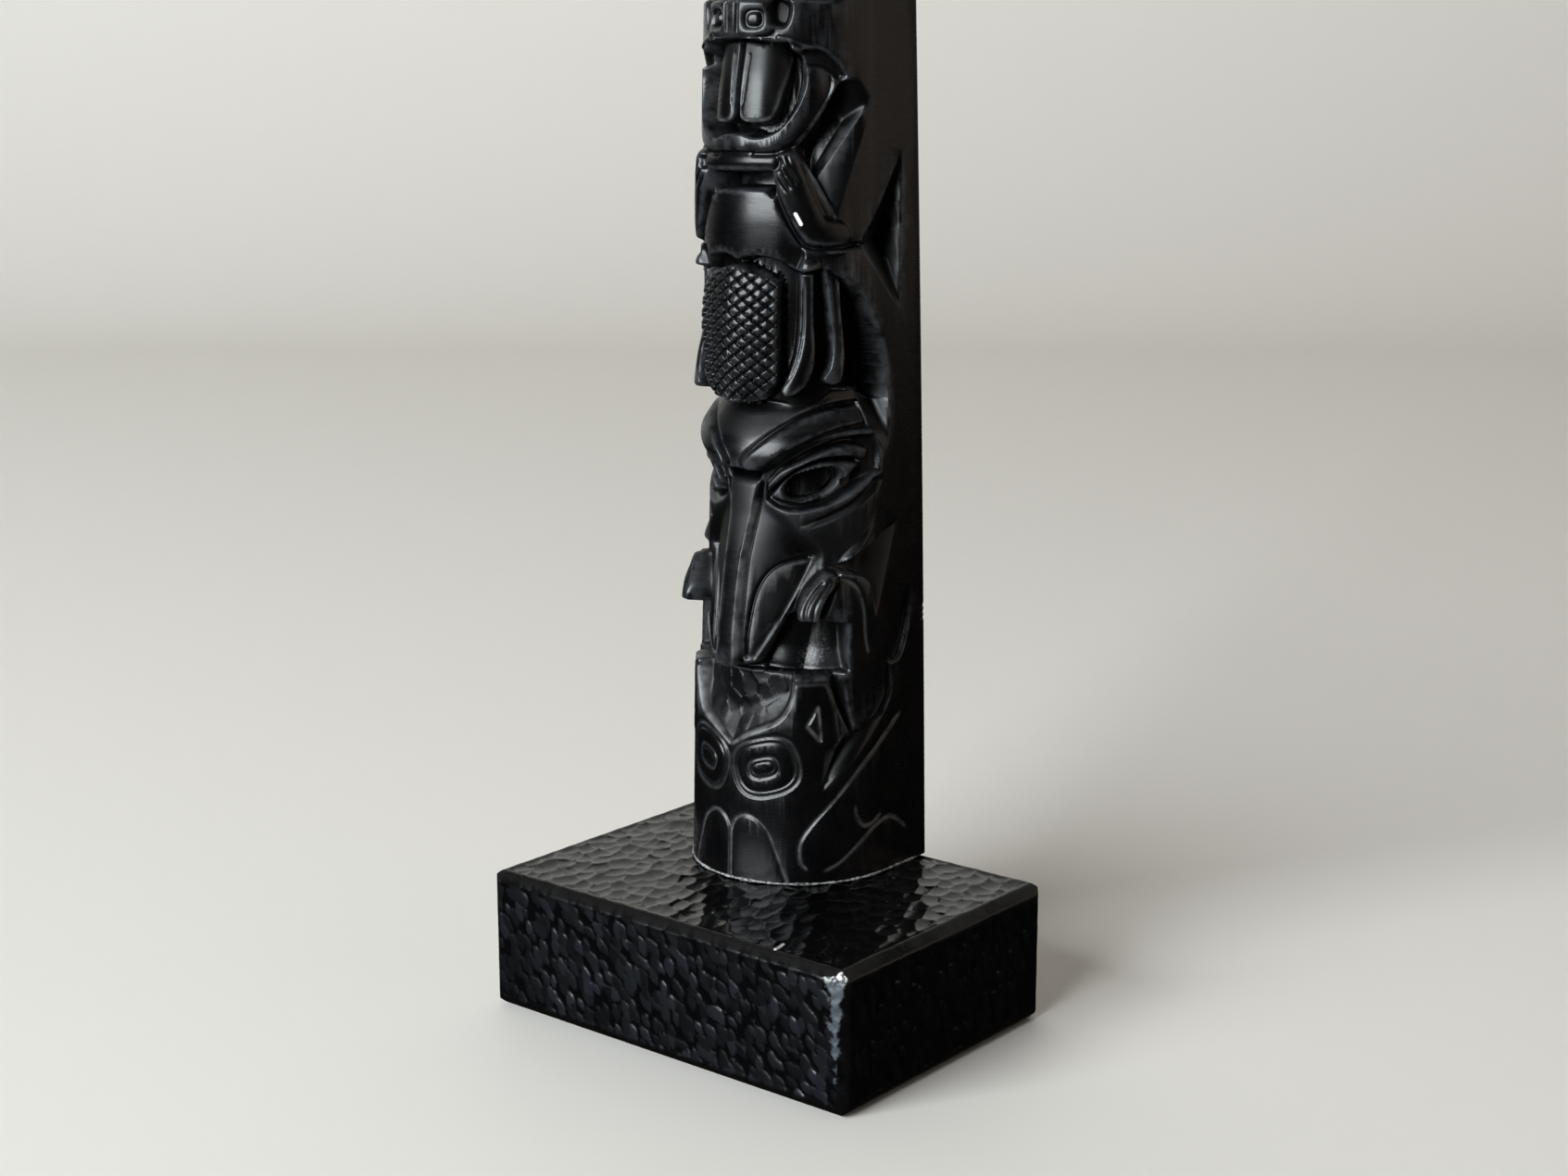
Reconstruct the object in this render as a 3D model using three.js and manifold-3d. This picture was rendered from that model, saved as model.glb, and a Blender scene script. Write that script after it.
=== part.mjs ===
// A small carved totem pole on a rectangular plinth. Millimetres, +Z up, front facing -Y.
// The pole is a log with a half-round front and a flat back. Its carving is a height over the log's
// unrolled surface: s runs round the log from the front centre line, z is the height. Every stroke is
// mirrored left to right, because the figures are symmetrical.
import * as THREE from 'three';
import { mergeVertices } from 'three/addons/utils/BufferGeometryUtils.js';
import Module from 'manifold-3d';

// ---------------------------------------------------------------- driving dimensions
const PLINTH = { width: 63.2, depth: 45, height: 20, bevel: 1.4, facet: 4.2, gouge: 0.3 };
const LOG = { radius: 15, taper: 0.00128, centreX: -3.5, centreY: 11.6, back: 22.4, corner: 0.8 };
const LEAN = { by: 1.4, rise: 125 };    // the back curves forward by this much over this rise
const FOOT = PLINTH.height;            // the pole stands on the plinth's top
const CROWN = 159;                     // top of the beaver's head
const EAR = { height: 5.8, width: 9.4, apart: 15, back: 9.5, sink: 6, inset: 0.1 };
const EAR_DISH = { depth: 1.4, share: 0.27 };   // radius of the dish as a share of the ear's width
const CROWN_ROUND = 3.2;               // rounded rim of the crown
const FACETS = 7800;                   // triangles left on the pole before its ears are joined on
const SMALLEST_FACET = 0.004;          // square millimetres
const MOST_TURN = 0.35;                // cosine of the most that a merge may turn a facet
const EVEN_SPREAD = 1e-4;              // a small cost on long merges, so that flat areas thin evenly
const SAME_POINT = 1e-4;               // corners closer than this are one corner

// ---------------------------------------------------------------- small helpers
const clamp = THREE.MathUtils.clamp;
function ease(x, a, b) {
  const k = clamp((x - a) / (b - a), 0, 1);
  return k * k * (3 - 2 * k);
}

// Height along a profile of [place, height] stops, straight between them.
function profile(x, stops) {
  if (x <= stops[0][0]) return stops[0][1];
  for (let i = 1; i < stops.length; i++) {
    const [x0, h0] = stops[i - 1], [x1, h1] = stops[i];
    if (x <= x1) return h0 + (h1 - h0) * (x - x0) / (x1 - x0);
  }
  return stops.at(-1)[1];
}

// A smooth line through the points of an outline; the points listed in sharp stay corners.
function rounded(points, closed, sharp = [], steps = 5) {
  const n = points.length, line = [];
  const at = i => points[(i + n) % n];
  const length = (p, q) => Math.hypot(q[0] - p[0], q[1] - p[1]);
  for (let i = 0; i < (closed ? n : n - 1); i++) {
    const a = at(i), b = at(i + 1);
    const before = sharp.includes(i) || (!closed && i === 0) ? a : at(i - 1);
    const after = sharp.includes((i + 1) % n) || (!closed && i === n - 2) ? b : at(i + 2);
    const la = length(before, a), lb = length(a, b), lc = length(b, after);
    for (let k = 0; k < steps; k++) {
      const u = k / steps, w = 1 - u;
      line.push([0, 1].map(c => {
        const leave = la > 0 ? (b[c] - before[c]) * lb / (la + lb) : b[c] - a[c];
        const arrive = lc > 0 ? (after[c] - a[c]) * lb / (lb + lc) : b[c] - a[c];
        return w * w * (1 + 2 * u) * a[c] + u * w * w * leave
          + u * u * (3 - 2 * u) * b[c] - u * u * w * arrive;
      }));
    }
  }
  if (!closed) line.push(points.at(-1));
  return line;
}

// Distance from a place to a line, how far along it that is (0 to 1), and whether the place is inside.
function nearest(line, closed, s, z) {
  const n = line.length, count = closed ? n : n - 1;
  let best = Infinity, along = 0, inside = false;
  for (let i = 0; i < count; i++) {
    const [as, az] = line[i], [bs, bz] = line[(i + 1) % n];
    const ds = bs - as, dz = bz - az, square = ds * ds + dz * dz;
    if (square < 1e-12) continue;
    const k = clamp(((s - as) * ds + (z - az) * dz) / square, 0, 1);
    const gap = (s - as - k * ds) ** 2 + (z - az - k * dz) ** 2;
    if (gap < best) { best = gap; along = (i + k) / count; }
    if (closed && (az > z) !== (bz > z) && s < as + (z - az) / (bz - az) * ds) inside = !inside;
  }
  const distance = Math.sqrt(best);
  return { distance: inside ? -distance : distance, along };
}

// ---------------------------------------------------------------- the strokes of the knife
const strokes = [];

function addStroke(line, margin, change) {
  const box = new THREE.Box2().setFromPoints(line.map(([s, z]) => new THREE.Vector2(s, z)));
  strokes.push({ box: box.expandByScalar(margin), change });
}

// Bring the inside of an outline to a floor, with a side wall of the given width. A mirrored outline is
// half of a symmetrical one, from its lowest point on the centre line round to its highest.
function cut(points, floor, { wall = 0.6, sharp = [], mirror = false, mode = 'set' } = {}) {
  const left = mirror ? points.filter(([s]) => s > 0).map(([s, z]) => [-s, z]).reverse() : [];
  const all = [...left, ...points];
  const meets = ([s, z], [s1, z1]) => s1 === Math.abs(s) && z1 === z;
  const isSharp = p => sharp === 'all' || sharp.some(i => meets(p, points[i]));
  const line = rounded(all, true, all.flatMap((p, i) => (isSharp(p) ? [i] : [])));
  const level = typeof floor === 'function' ? floor : () => floor;
  addStroke(line, wall, (h, s, z) => {
    const inside = ease(nearest(line, true, s, z).distance, wall / 2, -wall / 2);
    const to = { set: level(s, z), lower: Math.min(level(s, z), h), raise: Math.max(level(s, z), h),
      add: h + level(s, z) }[mode];
    return h + inside * (to - h);
  });
}

// A raised strip along a line; half width, height and bulge run from their first to their second value.
function ridge(points, half, height, { wall = 0.6, bulge = [0, 0], set = false } = {}) {
  const line = rounded(points, false);
  const mix = ([a, b], u) => a + (b - a) * u;
  addStroke(line, Math.max(...half) + wall, (h, s, z) => {
    const { distance, along } = nearest(line, false, s, z);
    const r = mix(half, along);
    const top = mix(height, along) + mix(bulge, along) * clamp(1 - (distance / r) ** 2, 0, 1);
    return h + ease(distance, r + wall / 2, r - wall / 2) * (set ? top - h : top);
  });
}

// A V-shaped channel along a line, fading in and out over the given share of its length.
function valley(points, half, depth, fade = 0) {
  const line = rounded(points, false);
  addStroke(line, Math.max(...half), (h, s, z) => {
    const { distance, along } = nearest(line, false, s, z);
    const r = half[0] + (half[1] - half[0]) * along;
    const ends = fade ? ease(along, 0, fade) * ease(1 - along, 0, fade) : 1;
    return h - depth * ends * clamp(1 - distance / r, 0, 1);
  });
}

// A squarish oval, tilted by degrees: its size measure (1 on the rim) and distance from the rim.
function oval([cs, cz], [a, b], tilt, power, change) {
  const turn = tilt * Math.PI / 180;
  const c = Math.cos(turn), q = Math.sin(turn);
  const reach = Math.max(a, b) * 1.5;
  addStroke([[cs - reach, cz - reach], [cs + reach, cz + reach]], 1, (h, s, z) => {
    const x = (c * (s - cs) + q * (z - cz)) / a, y = (-q * (s - cs) + c * (z - cz)) / b;
    const size = (Math.abs(x) ** power + Math.abs(y) ** power) ** (1 / power);
    const scale = Math.hypot(x, y) / Math.max(Math.hypot(x / a, y / b), 1e-6);
    return change(h, size, (size - 1) * scale);
  });
}

// A boss (or a hollow, with a minus height): rounded, or flat-topped where it has a wall.
function boss(centre, half, tilt, height, { power = 2, wall = 0 } = {}) {
  oval(centre, half, tilt, power, (h, size, distance) =>
    h + height * (wall ? ease(distance, wall / 2, -wall / 2) : clamp(1 - size ** 2, 0, 1)));
}

// A V-shaped line round an oval.
function ring(centre, half, tilt, width, depth, power) {
  oval(centre, half, tilt, power, (h, size, distance) =>
    h - depth * clamp(1 - Math.abs(distance) / width, 0, 1));
}

// ---------------------------------------------------------------- whale, at the foot
function carveWhale() {
  // brow, hollowed out in two lobes that meet in a V
  cut([[0, 39.2], [3, 41.1], [5, 42], [7, 43], [8.3, 44.7], [9, 47], [9.1, 49.4], [0, 49.4]],
    (s, z) => -0.2 - 2.3 * ease(z - 0.35 * Math.abs(s), 38.6, 45) - 0.25 * ease(s, 8.6, 6),
    { wall: 0.8, sharp: [0, 6, 7], mirror: true });
  // channel between the cheek and the wing
  valley([[14.9, 50.5], [16, 45.5], [17.6, 41.4]], [1.5, 0.4], 1.6);
  // fin: one long slanting facet, deep along its upper left side
  cut([[13.2, 33], [16.4, 40.3], [20, 41.7], [23.2, 45], [24.8, 47.5], [25.2, 45], [20.4, 39.2], [15.4, 35]],
    (s, z) => -1.5 * ease(z - 33 - 1.02 * (s - 13.2), -1.2, 3.2), { wall: 0.5, sharp: [0, 4] });
  // eye, teeth and fin lines
  ring([5.3, 36.4], [4.5, 3.7], 17, 0.6, 0.35, 2.7);
  boss([5.1, 36.3], [2, 1.2], 17, -0.3, { power: 2.7, wall: 0.5 });
  valley([[0.2, 26.8], [1.1, 28.6], [3.1, 29.2], [5.4, 27.7], [7, 24.4], [8.7, 20.2]], [0.5, 0.5], 0.35);
  valley([[28, 42.5], [25, 40.4], [20, 36.6], [15, 31.6], [12, 28.6], [10.3, 26], [10.3, 23.4],
    [11.6, 21.9]], [0.55, 0.55], 0.4, 0.08);
}

// ---------------------------------------------------------------- bird, in the middle
// The beak's front edge comes forward as it goes down.
const beakFront = z => profile(z, [[50, 1.8], [54, 1.6], [60, 0.9], [65, 0.1], [71, -1.4], [75.4, -1.9],
  [77.2, -4]]);

function carveBirdHead() {
  // forehead, sloping back under the beaver
  cut([[0, 79], [24, 79], [24, 88], [0, 88]], (s, z) => profile(z, [[80.6, 0], [86.4, -3.1], [88, -3.2]]),
    { wall: 0.5, sharp: 'all', mirror: true });
  // hollow face below the brow
  cut([[0, 77.4], [3, 77], [6, 78.4], [10, 80.6], [15, 82], [21, 82.4], [21.6, 77], [21, 70], [16, 64.5],
    [12.5, 57], [0, 57]],
  (s, z) => -1.7 * ease(Math.abs(s), 23, 12) - 0.5 * ease(z, 60, 70) * ease(Math.abs(s), 14, 4),
  { wall: 0.8, sharp: [0, 5, 10], mirror: true });
  // beak: slanting sides and a flat raised strip down the front
  cut([[0, 50.2], [3.6, 50.8], [8.2, 58.4], [12.3, 65.2], [9, 68], [5, 72], [3.2, 74], [0, 74]],
    (s, z) => beakFront(z) - 0.75 - 0.28 * Math.max(Math.abs(s) - 1.5, 0) * ease(z, 76, 64),
    { wall: 2.6, sharp: [1], mirror: true });
  cut([[3.8, 50.4], [8.4, 58.2], [12.6, 65.2], [12.4, 56], [9, 50]], -2.2,
    { wall: 0.5, sharp: 'all', mode: 'lower' });
  cut([[0, 50], [1.7, 50.2], [1.45, 54], [1.6, 65], [2.1, 71], [2.8, 75.5], [3.6, 77.2], [0, 77.2]],
    (s, z) => beakFront(z), { wall: 0.5, sharp: [0, 1, 6], mirror: true });
  // brow band
  cut([[1.3, 78.6], [3.5, 80.9], [6.5, 83], [10, 84.6], [15, 85.6], [20.6, 85.8], [20.6, 82.9], [15, 82.5],
    [10, 81], [6, 78.9], [3.4, 77.3], [1.6, 77.3]], 0.4, { wall: 0.6, sharp: [5, 6], mode: 'add' });
}

function carveBirdEyes() {
  // a deep pointed socket, with a shelf under the brow and a pointed lid round the iris
  cut([[4.2, 73.2], [4.5, 75.4], [6.4, 77.3], [9, 79], [12, 80.3], [15, 81.2], [18, 81.6], [21.4, 81.6],
    [22.4, 79.5], [22.3, 77], [20, 75.4], [17.5, 74.1], [15, 72.9], [12.5, 72.1], [9, 71.7], [6, 72.2]],
  s => -2.9 + 1.7 * ease(s, 18.5, 22), { wall: 0.8, sharp: [0, 7, 9], mode: 'lower' });
  cut([[4.6, 74.3], [6.5, 75.8], [9, 77.3], [12, 78.5], [14, 78.9], [17, 78.9], [20.2, 78.4], [20.7, 79.9],
    [18, 80.5], [16, 80.4], [14, 80], [12, 79.4], [10, 78.6], [8, 77.9], [6.5, 77.2], [4.6, 75.5]],
  s => -1.2 + 0.03 * (s - 10), { wall: 0.5, sharp: [0, 6, 7, 15], mode: 'raise' });
  cut([[5, 73.8], [6.8, 75.5], [9, 76.8], [11, 77.7], [13, 78.2], [15, 78.3], [19.5, 78], [18, 76.9],
    [16.8, 75.9], [15.3, 74.9], [14, 74], [12, 73.2], [10, 72.8], [8, 73]],
  s => -1.35 + 0.02 * s, { wall: 0.5, sharp: [0, 6], mode: 'raise' });
  boss([11.8, 75.35], [4.85, 1.95], 12, -2, { power: 2.3, wall: 0.5 });
  valley([[22.5, 76.4], [20.5, 74.3], [17.5, 72.2], [14, 70.7], [10, 69.4]], [1, 0.5], 0.7, 0.12);
}

function carveBirdWings() {
  // recess under the beak and the claw, its right side slanting up to the wing
  cut([[3.9, 50.2], [8.3, 57.4], [10, 58], [12.4, 57], [16.9, 56.2], [17, 49.8], [12, 49.2], [4, 49.3]],
    (s, z) => -4.2 + 0.42 * clamp(s - 12.1 + 0.3 * (54 - z), 0, 6),
    { wall: 0.6, sharp: 'all', mode: 'lower' });
  cut([[0, 49.3], [8.9, 49.3], [6, 51.5], [2, 50.3], [0, 50.2]], -3,
    { wall: 0.6, sharp: 'all', mode: 'lower', mirror: true });
  // claw hooked over the recess
  cut([[9.7, 57.2], [12.6, 57], [12.9, 58.8], [13.6, 60.3], [14.8, 61.6], [15.1, 63.1], [13.5, 63.6],
    [11.9, 62.4], [10.5, 60.8], [9.7, 59]],
  (s, z) => profile(z - 0.35 * (s - 11), [[57, 2.1], [59, 2], [61, 1.1], [63.4, 0]])
    - 0.22 * (s - 11.3 - 0.5 * Math.max(z - 58.5, 0)) ** 2, { wall: 0.6, sharp: [0, 1] });
  // feathers: chip cuts along the wing
  cut([[14.8, 63.9], [20.5, 66.7], [25.9, 69.5], [25.6, 66], [23.2, 60.5], [21.8, 56.4], [20.3, 62]],
    (s, z) => -clamp(0.55 * (21.8 + (z - 56.4) / 3.2 - s), 0, 2.2), { wall: 0.5, sharp: [0, 2, 5] });
  cut([[29.3, 59.8], [26.6, 57], [24.8, 52.6], [24.1, 49.6], [27.2, 50], [29, 54.5]],
    (s, z) => -0.9 * ease(s - 24 - 0.45 * (z - 49.6), -0.5, 3), { wall: 0.5, sharp: [0, 3] });
  cut([[24.6, 49.8], [22.6, 44.5], [22, 42.5], [23.4, 43], [25.2, 46]], -0.8, { wall: 0.6, sharp: [0, 2] });
}

// ---------------------------------------------------------------- beaver, at the top
const tailHeight = (s, z) => profile(z, [[86, 0.3], [88.5, 1.3], [97, 1.9], [102, 1.4], [104.8, 0.8]])
  - 0.15 * Math.hypot(s, 0.5);

// Height over the round log of a flat plane that faces some degrees away from the front.
const CHEST_RADIUS = 13.4;
const flatHeight = (s, facing, level) =>
  (CHEST_RADIUS + level) / Math.cos(s / CHEST_RADIUS - facing * Math.PI / 180) - CHEST_RADIUS;

function carveLegs() {
  // hollow round the tail, with the calf behind and the shin before it
  cut([[0, 86.6], [6.4, 86.4], [9.5, 85.6], [13, 86.6], [16, 88.3], [20, 87.8], [23.9, 86.2], [23.6, 90.5],
    [22, 95], [19.2, 99.6], [16, 102.2], [14.4, 103], [13, 104], [9.4, 103.8], [6, 105.5], [0, 106.2]],
  s => -3.2 - 1.4 * ease(s, 15.6, 18), { wall: 0.6, sharp: [6, 15], mirror: true });
  cut([[12.5, 104.8], [13, 102], [13.6, 98], [14, 94], [13.6, 91.2], [12.6, 89.6], [14, 88.8], [15.4, 89.2],
    [16, 92], [15.9, 95], [15.5, 98.5], [15.2, 102.4]], -0.4, { wall: 0.5, sharp: [11], mode: 'raise' });
  cut([[9.3, 103.6], [9.3, 97], [8.7, 93], [7.6, 90], [6.8, 88.3], [7.4, 87.5], [8.7, 87.7], [10.2, 88.8],
    [11.4, 91], [11.7, 94], [11.6, 97], [11.5, 103.6]],
  (s, z) => profile(z, [[87, 1.1], [89, 1], [92, 0.4], [95, -0.4], [98, -0.55], [104, -0.6]])
    - 0.14 * (s - 10.6 + 2.4 * ease(z, 95.5, 88)) ** 2, { wall: 0.5, sharp: [0, 4, 11], mode: 'raise' });
  boss([10.6, 104.3], [1.6, 1.4], 0, 1.1);
  // the flat tail, hanging down in front
  cut([[0, 86.2], [2.5, 86.5], [4.4, 87.1], [6.5, 89.4], [6.55, 95], [6.6, 102.6], [3.6, 103.8], [0, 104.8]],
    tailHeight, { wall: 0.5, sharp: [3, 5, 7], mirror: true });
  // side recess between thigh, arm and the slab behind them, deepest along its upright side
  const belowArm = (s, z) => 0.82 * (s - 17.3) - 0.58 * (z - 107);
  const aboveThigh = (s, z) => 0.71 * (s - 17.3) + 0.71 * (z - 107);
  cut([[17.3, 107], [21.5, 112.2], [26, 119.4], [26, 98.3], [22, 102.5]],
    (s, z) => -clamp(0.55 * Math.min(belowArm(s, z), aboveThigh(s, z)), 0, 3.6),
    { wall: 0.6, sharp: [0, 2, 3] });
}

function carveArms() {
  // belly and chest in three flat planes, and the gap under the stick
  cut([[0, 105.2], [2, 105.8], [3.6, 106], [6, 105.4], [9, 103.8], [9.8, 106.3], [7.9, 109.8], [6, 112.8],
    [4.6, 114.6], [0, 114.8]],
  (s, z) => profile(z, [[103, 0.1], [106, 0.3], [110, -0.5], [114.8, -2.4]])
    + 0.45 * Math.min(flatHeight(Math.abs(s), 0, 0), flatHeight(Math.abs(s), 33, 0.3)),
  { wall: 0.6, sharp: [0, 4, 8], mirror: true });
  cut([[0, 114.7], [4.5, 114.5], [5.6, 113.6], [5.6, 117], [0, 117]], -4.2,
    { wall: 0.5, sharp: 'all', mirror: true, mode: 'lower' });
  // hollow behind the lower lip, and the slanting facet inside the upper arm
  cut([[8.7, 119.8], [11.2, 116.4], [13.9, 111.4], [16.5, 118], [19.6, 125], [18.5, 128], [14.7, 128.2],
    [12.4, 124.6], [10.4, 121.8]],
  (s, z) => (-clamp(0.42 * (14 + 0.42 * (z - 111.4) - s), 0, 2.4) - 1.8 * ease(z - 1.28 * s, 101, 102))
    * ease(z + s, 146, 139), { wall: 0.5, sharp: [0, 2, 4], mode: 'lower' });
  // forearm and hand, and the stick held in both hands
  ridge([[13.9, 108.3], [11, 109.4], [9.1, 113], [7.4, 117.6]], [2.2, 1.9], [0.3, 0.6],
    { wall: 0.8, bulge: [0.3, 0.7], set: true });
  valley([[17.6, 107.3], [14, 106.9], [12, 106.9], [9.8, 107.4], [7.2, 111.2], [4.9, 116.6]],
    [0.7, 0.7], 0.9, 0.05);
  ridge([[-1, 118], [5.6, 118]], [1.25, 1.25], [0.1, 0.1], { wall: 0.5, bulge: [0.5, 0.5], set: true });
}

function carveMouth() {
  // flat lip round the open mouth, with two incisors
  cut([[0, 119.5], [4, 119.5], [6, 119.7], [7.5, 120.4], [9, 121.7], [10.5, 123.4], [12, 125.4],
    [12.9, 126.8], [13.2, 128.3], [12.6, 129.8], [11, 131.1], [8, 132.6], [5, 133.6], [0, 134.2]],
  s => 0.9 - 0.008 * s * s, { wall: 0.6, sharp: [12], mirror: true });
  cut([[0, 121.8], [1.5, 121.7], [3, 121.3], [4.6, 121.5], [6.2, 122.3], [7.3, 123.5], [8.4, 125.1],
    [9.1, 126.7], [9.5, 128.4], [9.4, 130], [9, 131.4], [7, 132.6], [5, 133.3], [0, 133.8]], -3.6,
  { wall: 0.5, mirror: true });
  cut([[8.6, 131.8], [9.4, 130.4], [12.4, 129.9], [14.2, 128.4], [15, 129], [13.4, 131], [11, 132.3]], -1.5,
    { wall: 0.6, mode: 'lower' });
  cut([[0.3, 133.6], [0.3, 124.2], [0.9, 123.2], [2.4, 122.9], [5, 123.3], [5.9, 124.6], [6.6, 127],
    [7.3, 129.2], [7.9, 131.4], [7.2, 133.2]],
  (s, z) => profile(z, [[122, 0.2], [128, -0.3], [134, -1.5]]) - 0.08 * Math.max(s - 2.4, 0) ** 2,
  { wall: 0.5, sharp: [0, 9] });
  ridge([[6, 133.9], [8.5, 133.2], [11, 131.9], [12.8, 130.7], [14.4, 129]], [0.4, 0.4], [0.3, 0.3],
    { wall: 0.5 });
}

function carveNoseAndEyes() {
  // nose with two nostrils over the lip
  cut([[0, 134.3], [4.9, 134.6], [5.3, 137.6], [3.6, 139], [0, 139.2]], s => 1.3 - 0.03 * s * s,
    { wall: 0.6, mirror: true });
  boss([2.9, 136.4], [1.35, 1.35], 0, -0.55, { power: 3, wall: 0.5 });
  cut([[4.9, 136], [6.8, 135.4], [7.4, 138], [5.2, 138.8]], -2.2, { wall: 0.8, mode: 'lower' });
  // bridge of the nose between the eye sockets
  cut([[0, 139], [4.6, 138.8], [7.5, 139], [14.6, 139.2], [17.6, 144], [15.6, 149.4], [9, 151], [3.4, 149.6],
    [0, 149.6]], s => -1.5 + ease(Math.abs(s), 4.2, 0.6)
    - 0.7 * ease(Math.abs(s), 4.5, 7) * ease(Math.abs(s), 17, 13), { wall: 1, mirror: true });
  cut([[5.6, 143.2], [8.2, 147], [12.5, 147.8], [15.9, 145], [12.4, 141], [8, 140.6]], -0.9,
    { wall: 0.7, sharp: [0, 3] });
  boss([10.7, 144.3], [3, 2.5], 10, 0.6, { power: 2.4 });
  ridge([[2.2, 149.4], [6, 151.6], [11, 152.3], [16, 150.6], [19.2, 146.6]], [1.2, 1.3], [0.5, 0.5],
    { wall: 0.6, bulge: [0.3, 0.3] });
}

// Height of the carving over the log at a place on its surface.
function relief(s, z) {
  const place = new THREE.Vector2(Math.abs(s), z);
  let h = 0;
  for (const { box, change } of strokes) if (box.containsPoint(place)) h = change(h, place.x, z);
  const over = z - (CROWN - CROWN_ROUND);
  return over > 0 ? h - (CROWN_ROUND - Math.sqrt(Math.max(CROWN_ROUND ** 2 - over * over, 0))) : h;
}

// ---------------------------------------------------------------- the log's surface
// Columns run round half of the log: front arc, flat side, rounded corner, back to its centre line.
const COLUMNS = { arc: 64, side: 18, corner: 2, back: 6 };
const HALF = COLUMNS.arc + COLUMNS.side + COLUMNS.corner + COLUMNS.back;
const ROUND = 2 * HALF, ROWS = 380;

const logRadius = z => LOG.radius * (1 - LOG.taper * (z - FOOT));
const logBack = z => LOG.back - LEAN.by * ((z - FOOT) / LEAN.rise) ** 2;

function surfacePoint(column, row) {
  const side = column <= HALF ? 1 : -1;
  let k = column <= HALF ? column : ROUND - column;
  const z = FOOT + (CROWN - FOOT) * row / ROWS, r = logRadius(z), back = logBack(z);
  const quarter = Math.PI / 2, flat = back - LOG.centreY - LOG.corner;
  let x, y, normal, s;
  if (k <= COLUMNS.arc) {
    const a = quarter * k / COLUMNS.arc;
    [x, y, normal, s] = [r * Math.sin(a), LOG.centreY - r * Math.cos(a), [Math.sin(a), -Math.cos(a)], r * a];
  } else if ((k -= COLUMNS.arc) <= COLUMNS.side) {
    const run = flat * k / COLUMNS.side;
    [x, y, normal, s] = [r, LOG.centreY + run, [1, 0], r * quarter + run];
  } else if ((k -= COLUMNS.side) <= COLUMNS.corner) {
    const a = quarter * k / COLUMNS.corner, c = LOG.corner;
    normal = [Math.cos(a), Math.sin(a)];
    [x, y, s] = [r - c + c * normal[0], back - c + c * normal[1], r * quarter + flat + c * a];
  } else {
    k = (k - COLUMNS.corner) / COLUMNS.back;
    [x, y, normal, s] = [(r - LOG.corner) * (1 - k), back, [0, 1], 100];
  }
  const h = relief(s, z);
  return new THREE.Vector3(LOG.centreX + side * (x + normal[0] * h), y + normal[1] * h, z);
}

// The whole surface as corners and triangles, its foot and crown closed with flat fans.
function closedLog() {
  const points = [], faces = [];
  for (let row = 0; row <= ROWS; row++) {
    for (let column = 0; column < ROUND; column++) points.push(surfacePoint(column, row));
  }
  const index = (column, row) => row * ROUND + (column + ROUND) % ROUND;
  for (let row = 0; row < ROWS; row++) {
    for (let column = 0; column < ROUND; column++) {
      const a = index(column, row), b = index(column + 1, row);
      const c = index(column, row + 1), d = index(column + 1, row + 1);
      faces.push(...((row + column) % 2 ? [[a, b, d], [a, d, c]] : [[a, b, c], [b, d, c]]));
    }
  }
  for (const [row, up] of [[0, false], [ROWS, true]]) {
    const centre = points.push(new THREE.Vector3(LOG.centreX, LOG.centreY, points[index(0, row)].z)) - 1;
    for (let column = 0; column < ROUND; column++) {
      const a = index(column, row), b = index(column + 1, row);
      faces.push(up ? [a, b, centre] : [b, a, centre]);
    }
  }
  return { points, faces };
}

// ---------------------------------------------------------------- fewer facets where the surface is flat
// A queue that always gives its cheapest item first.
class Queue {
  items = [];

  push(item) {
    const { items } = this;
    let i = items.push(item) - 1;
    for (let up; i > 0 && items[up = (i - 1) >> 1].cost > item.cost; i = up) items[i] = items[up];
    items[i] = item;
  }

  pop() {
    const { items } = this, top = items[0], last = items.pop();
    if (!items.length) return top;
    let i = 0;
    for (let k; (k = 2 * i + 1) < items.length; i = k) {
      if (k + 1 < items.length && items[k + 1].cost < items[k].cost) k++;
      if (items[k].cost >= last.cost) break;
      items[i] = items[k];
    }
    items[i] = last;
    return top;
  }
}

// A place's squared distance from all the planes that a corner stands for, as ten sums.
function planeSums(plane, weight) {
  const { x: a, y: b, z: c } = plane.normal, d = plane.constant;
  return [a * a, a * b, a * c, a * d, b * b, b * c, b * d, c * c, c * d, d * d].map(v => v * weight);
}

const strayFrom = (q, { x, y, z }) => q[0] * x * x + q[4] * y * y + q[7] * z * z + q[9]
  + 2 * (q[1] * x * y + q[2] * x * z + q[3] * x + q[5] * y * z + q[6] * y + q[8] * z);

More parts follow.
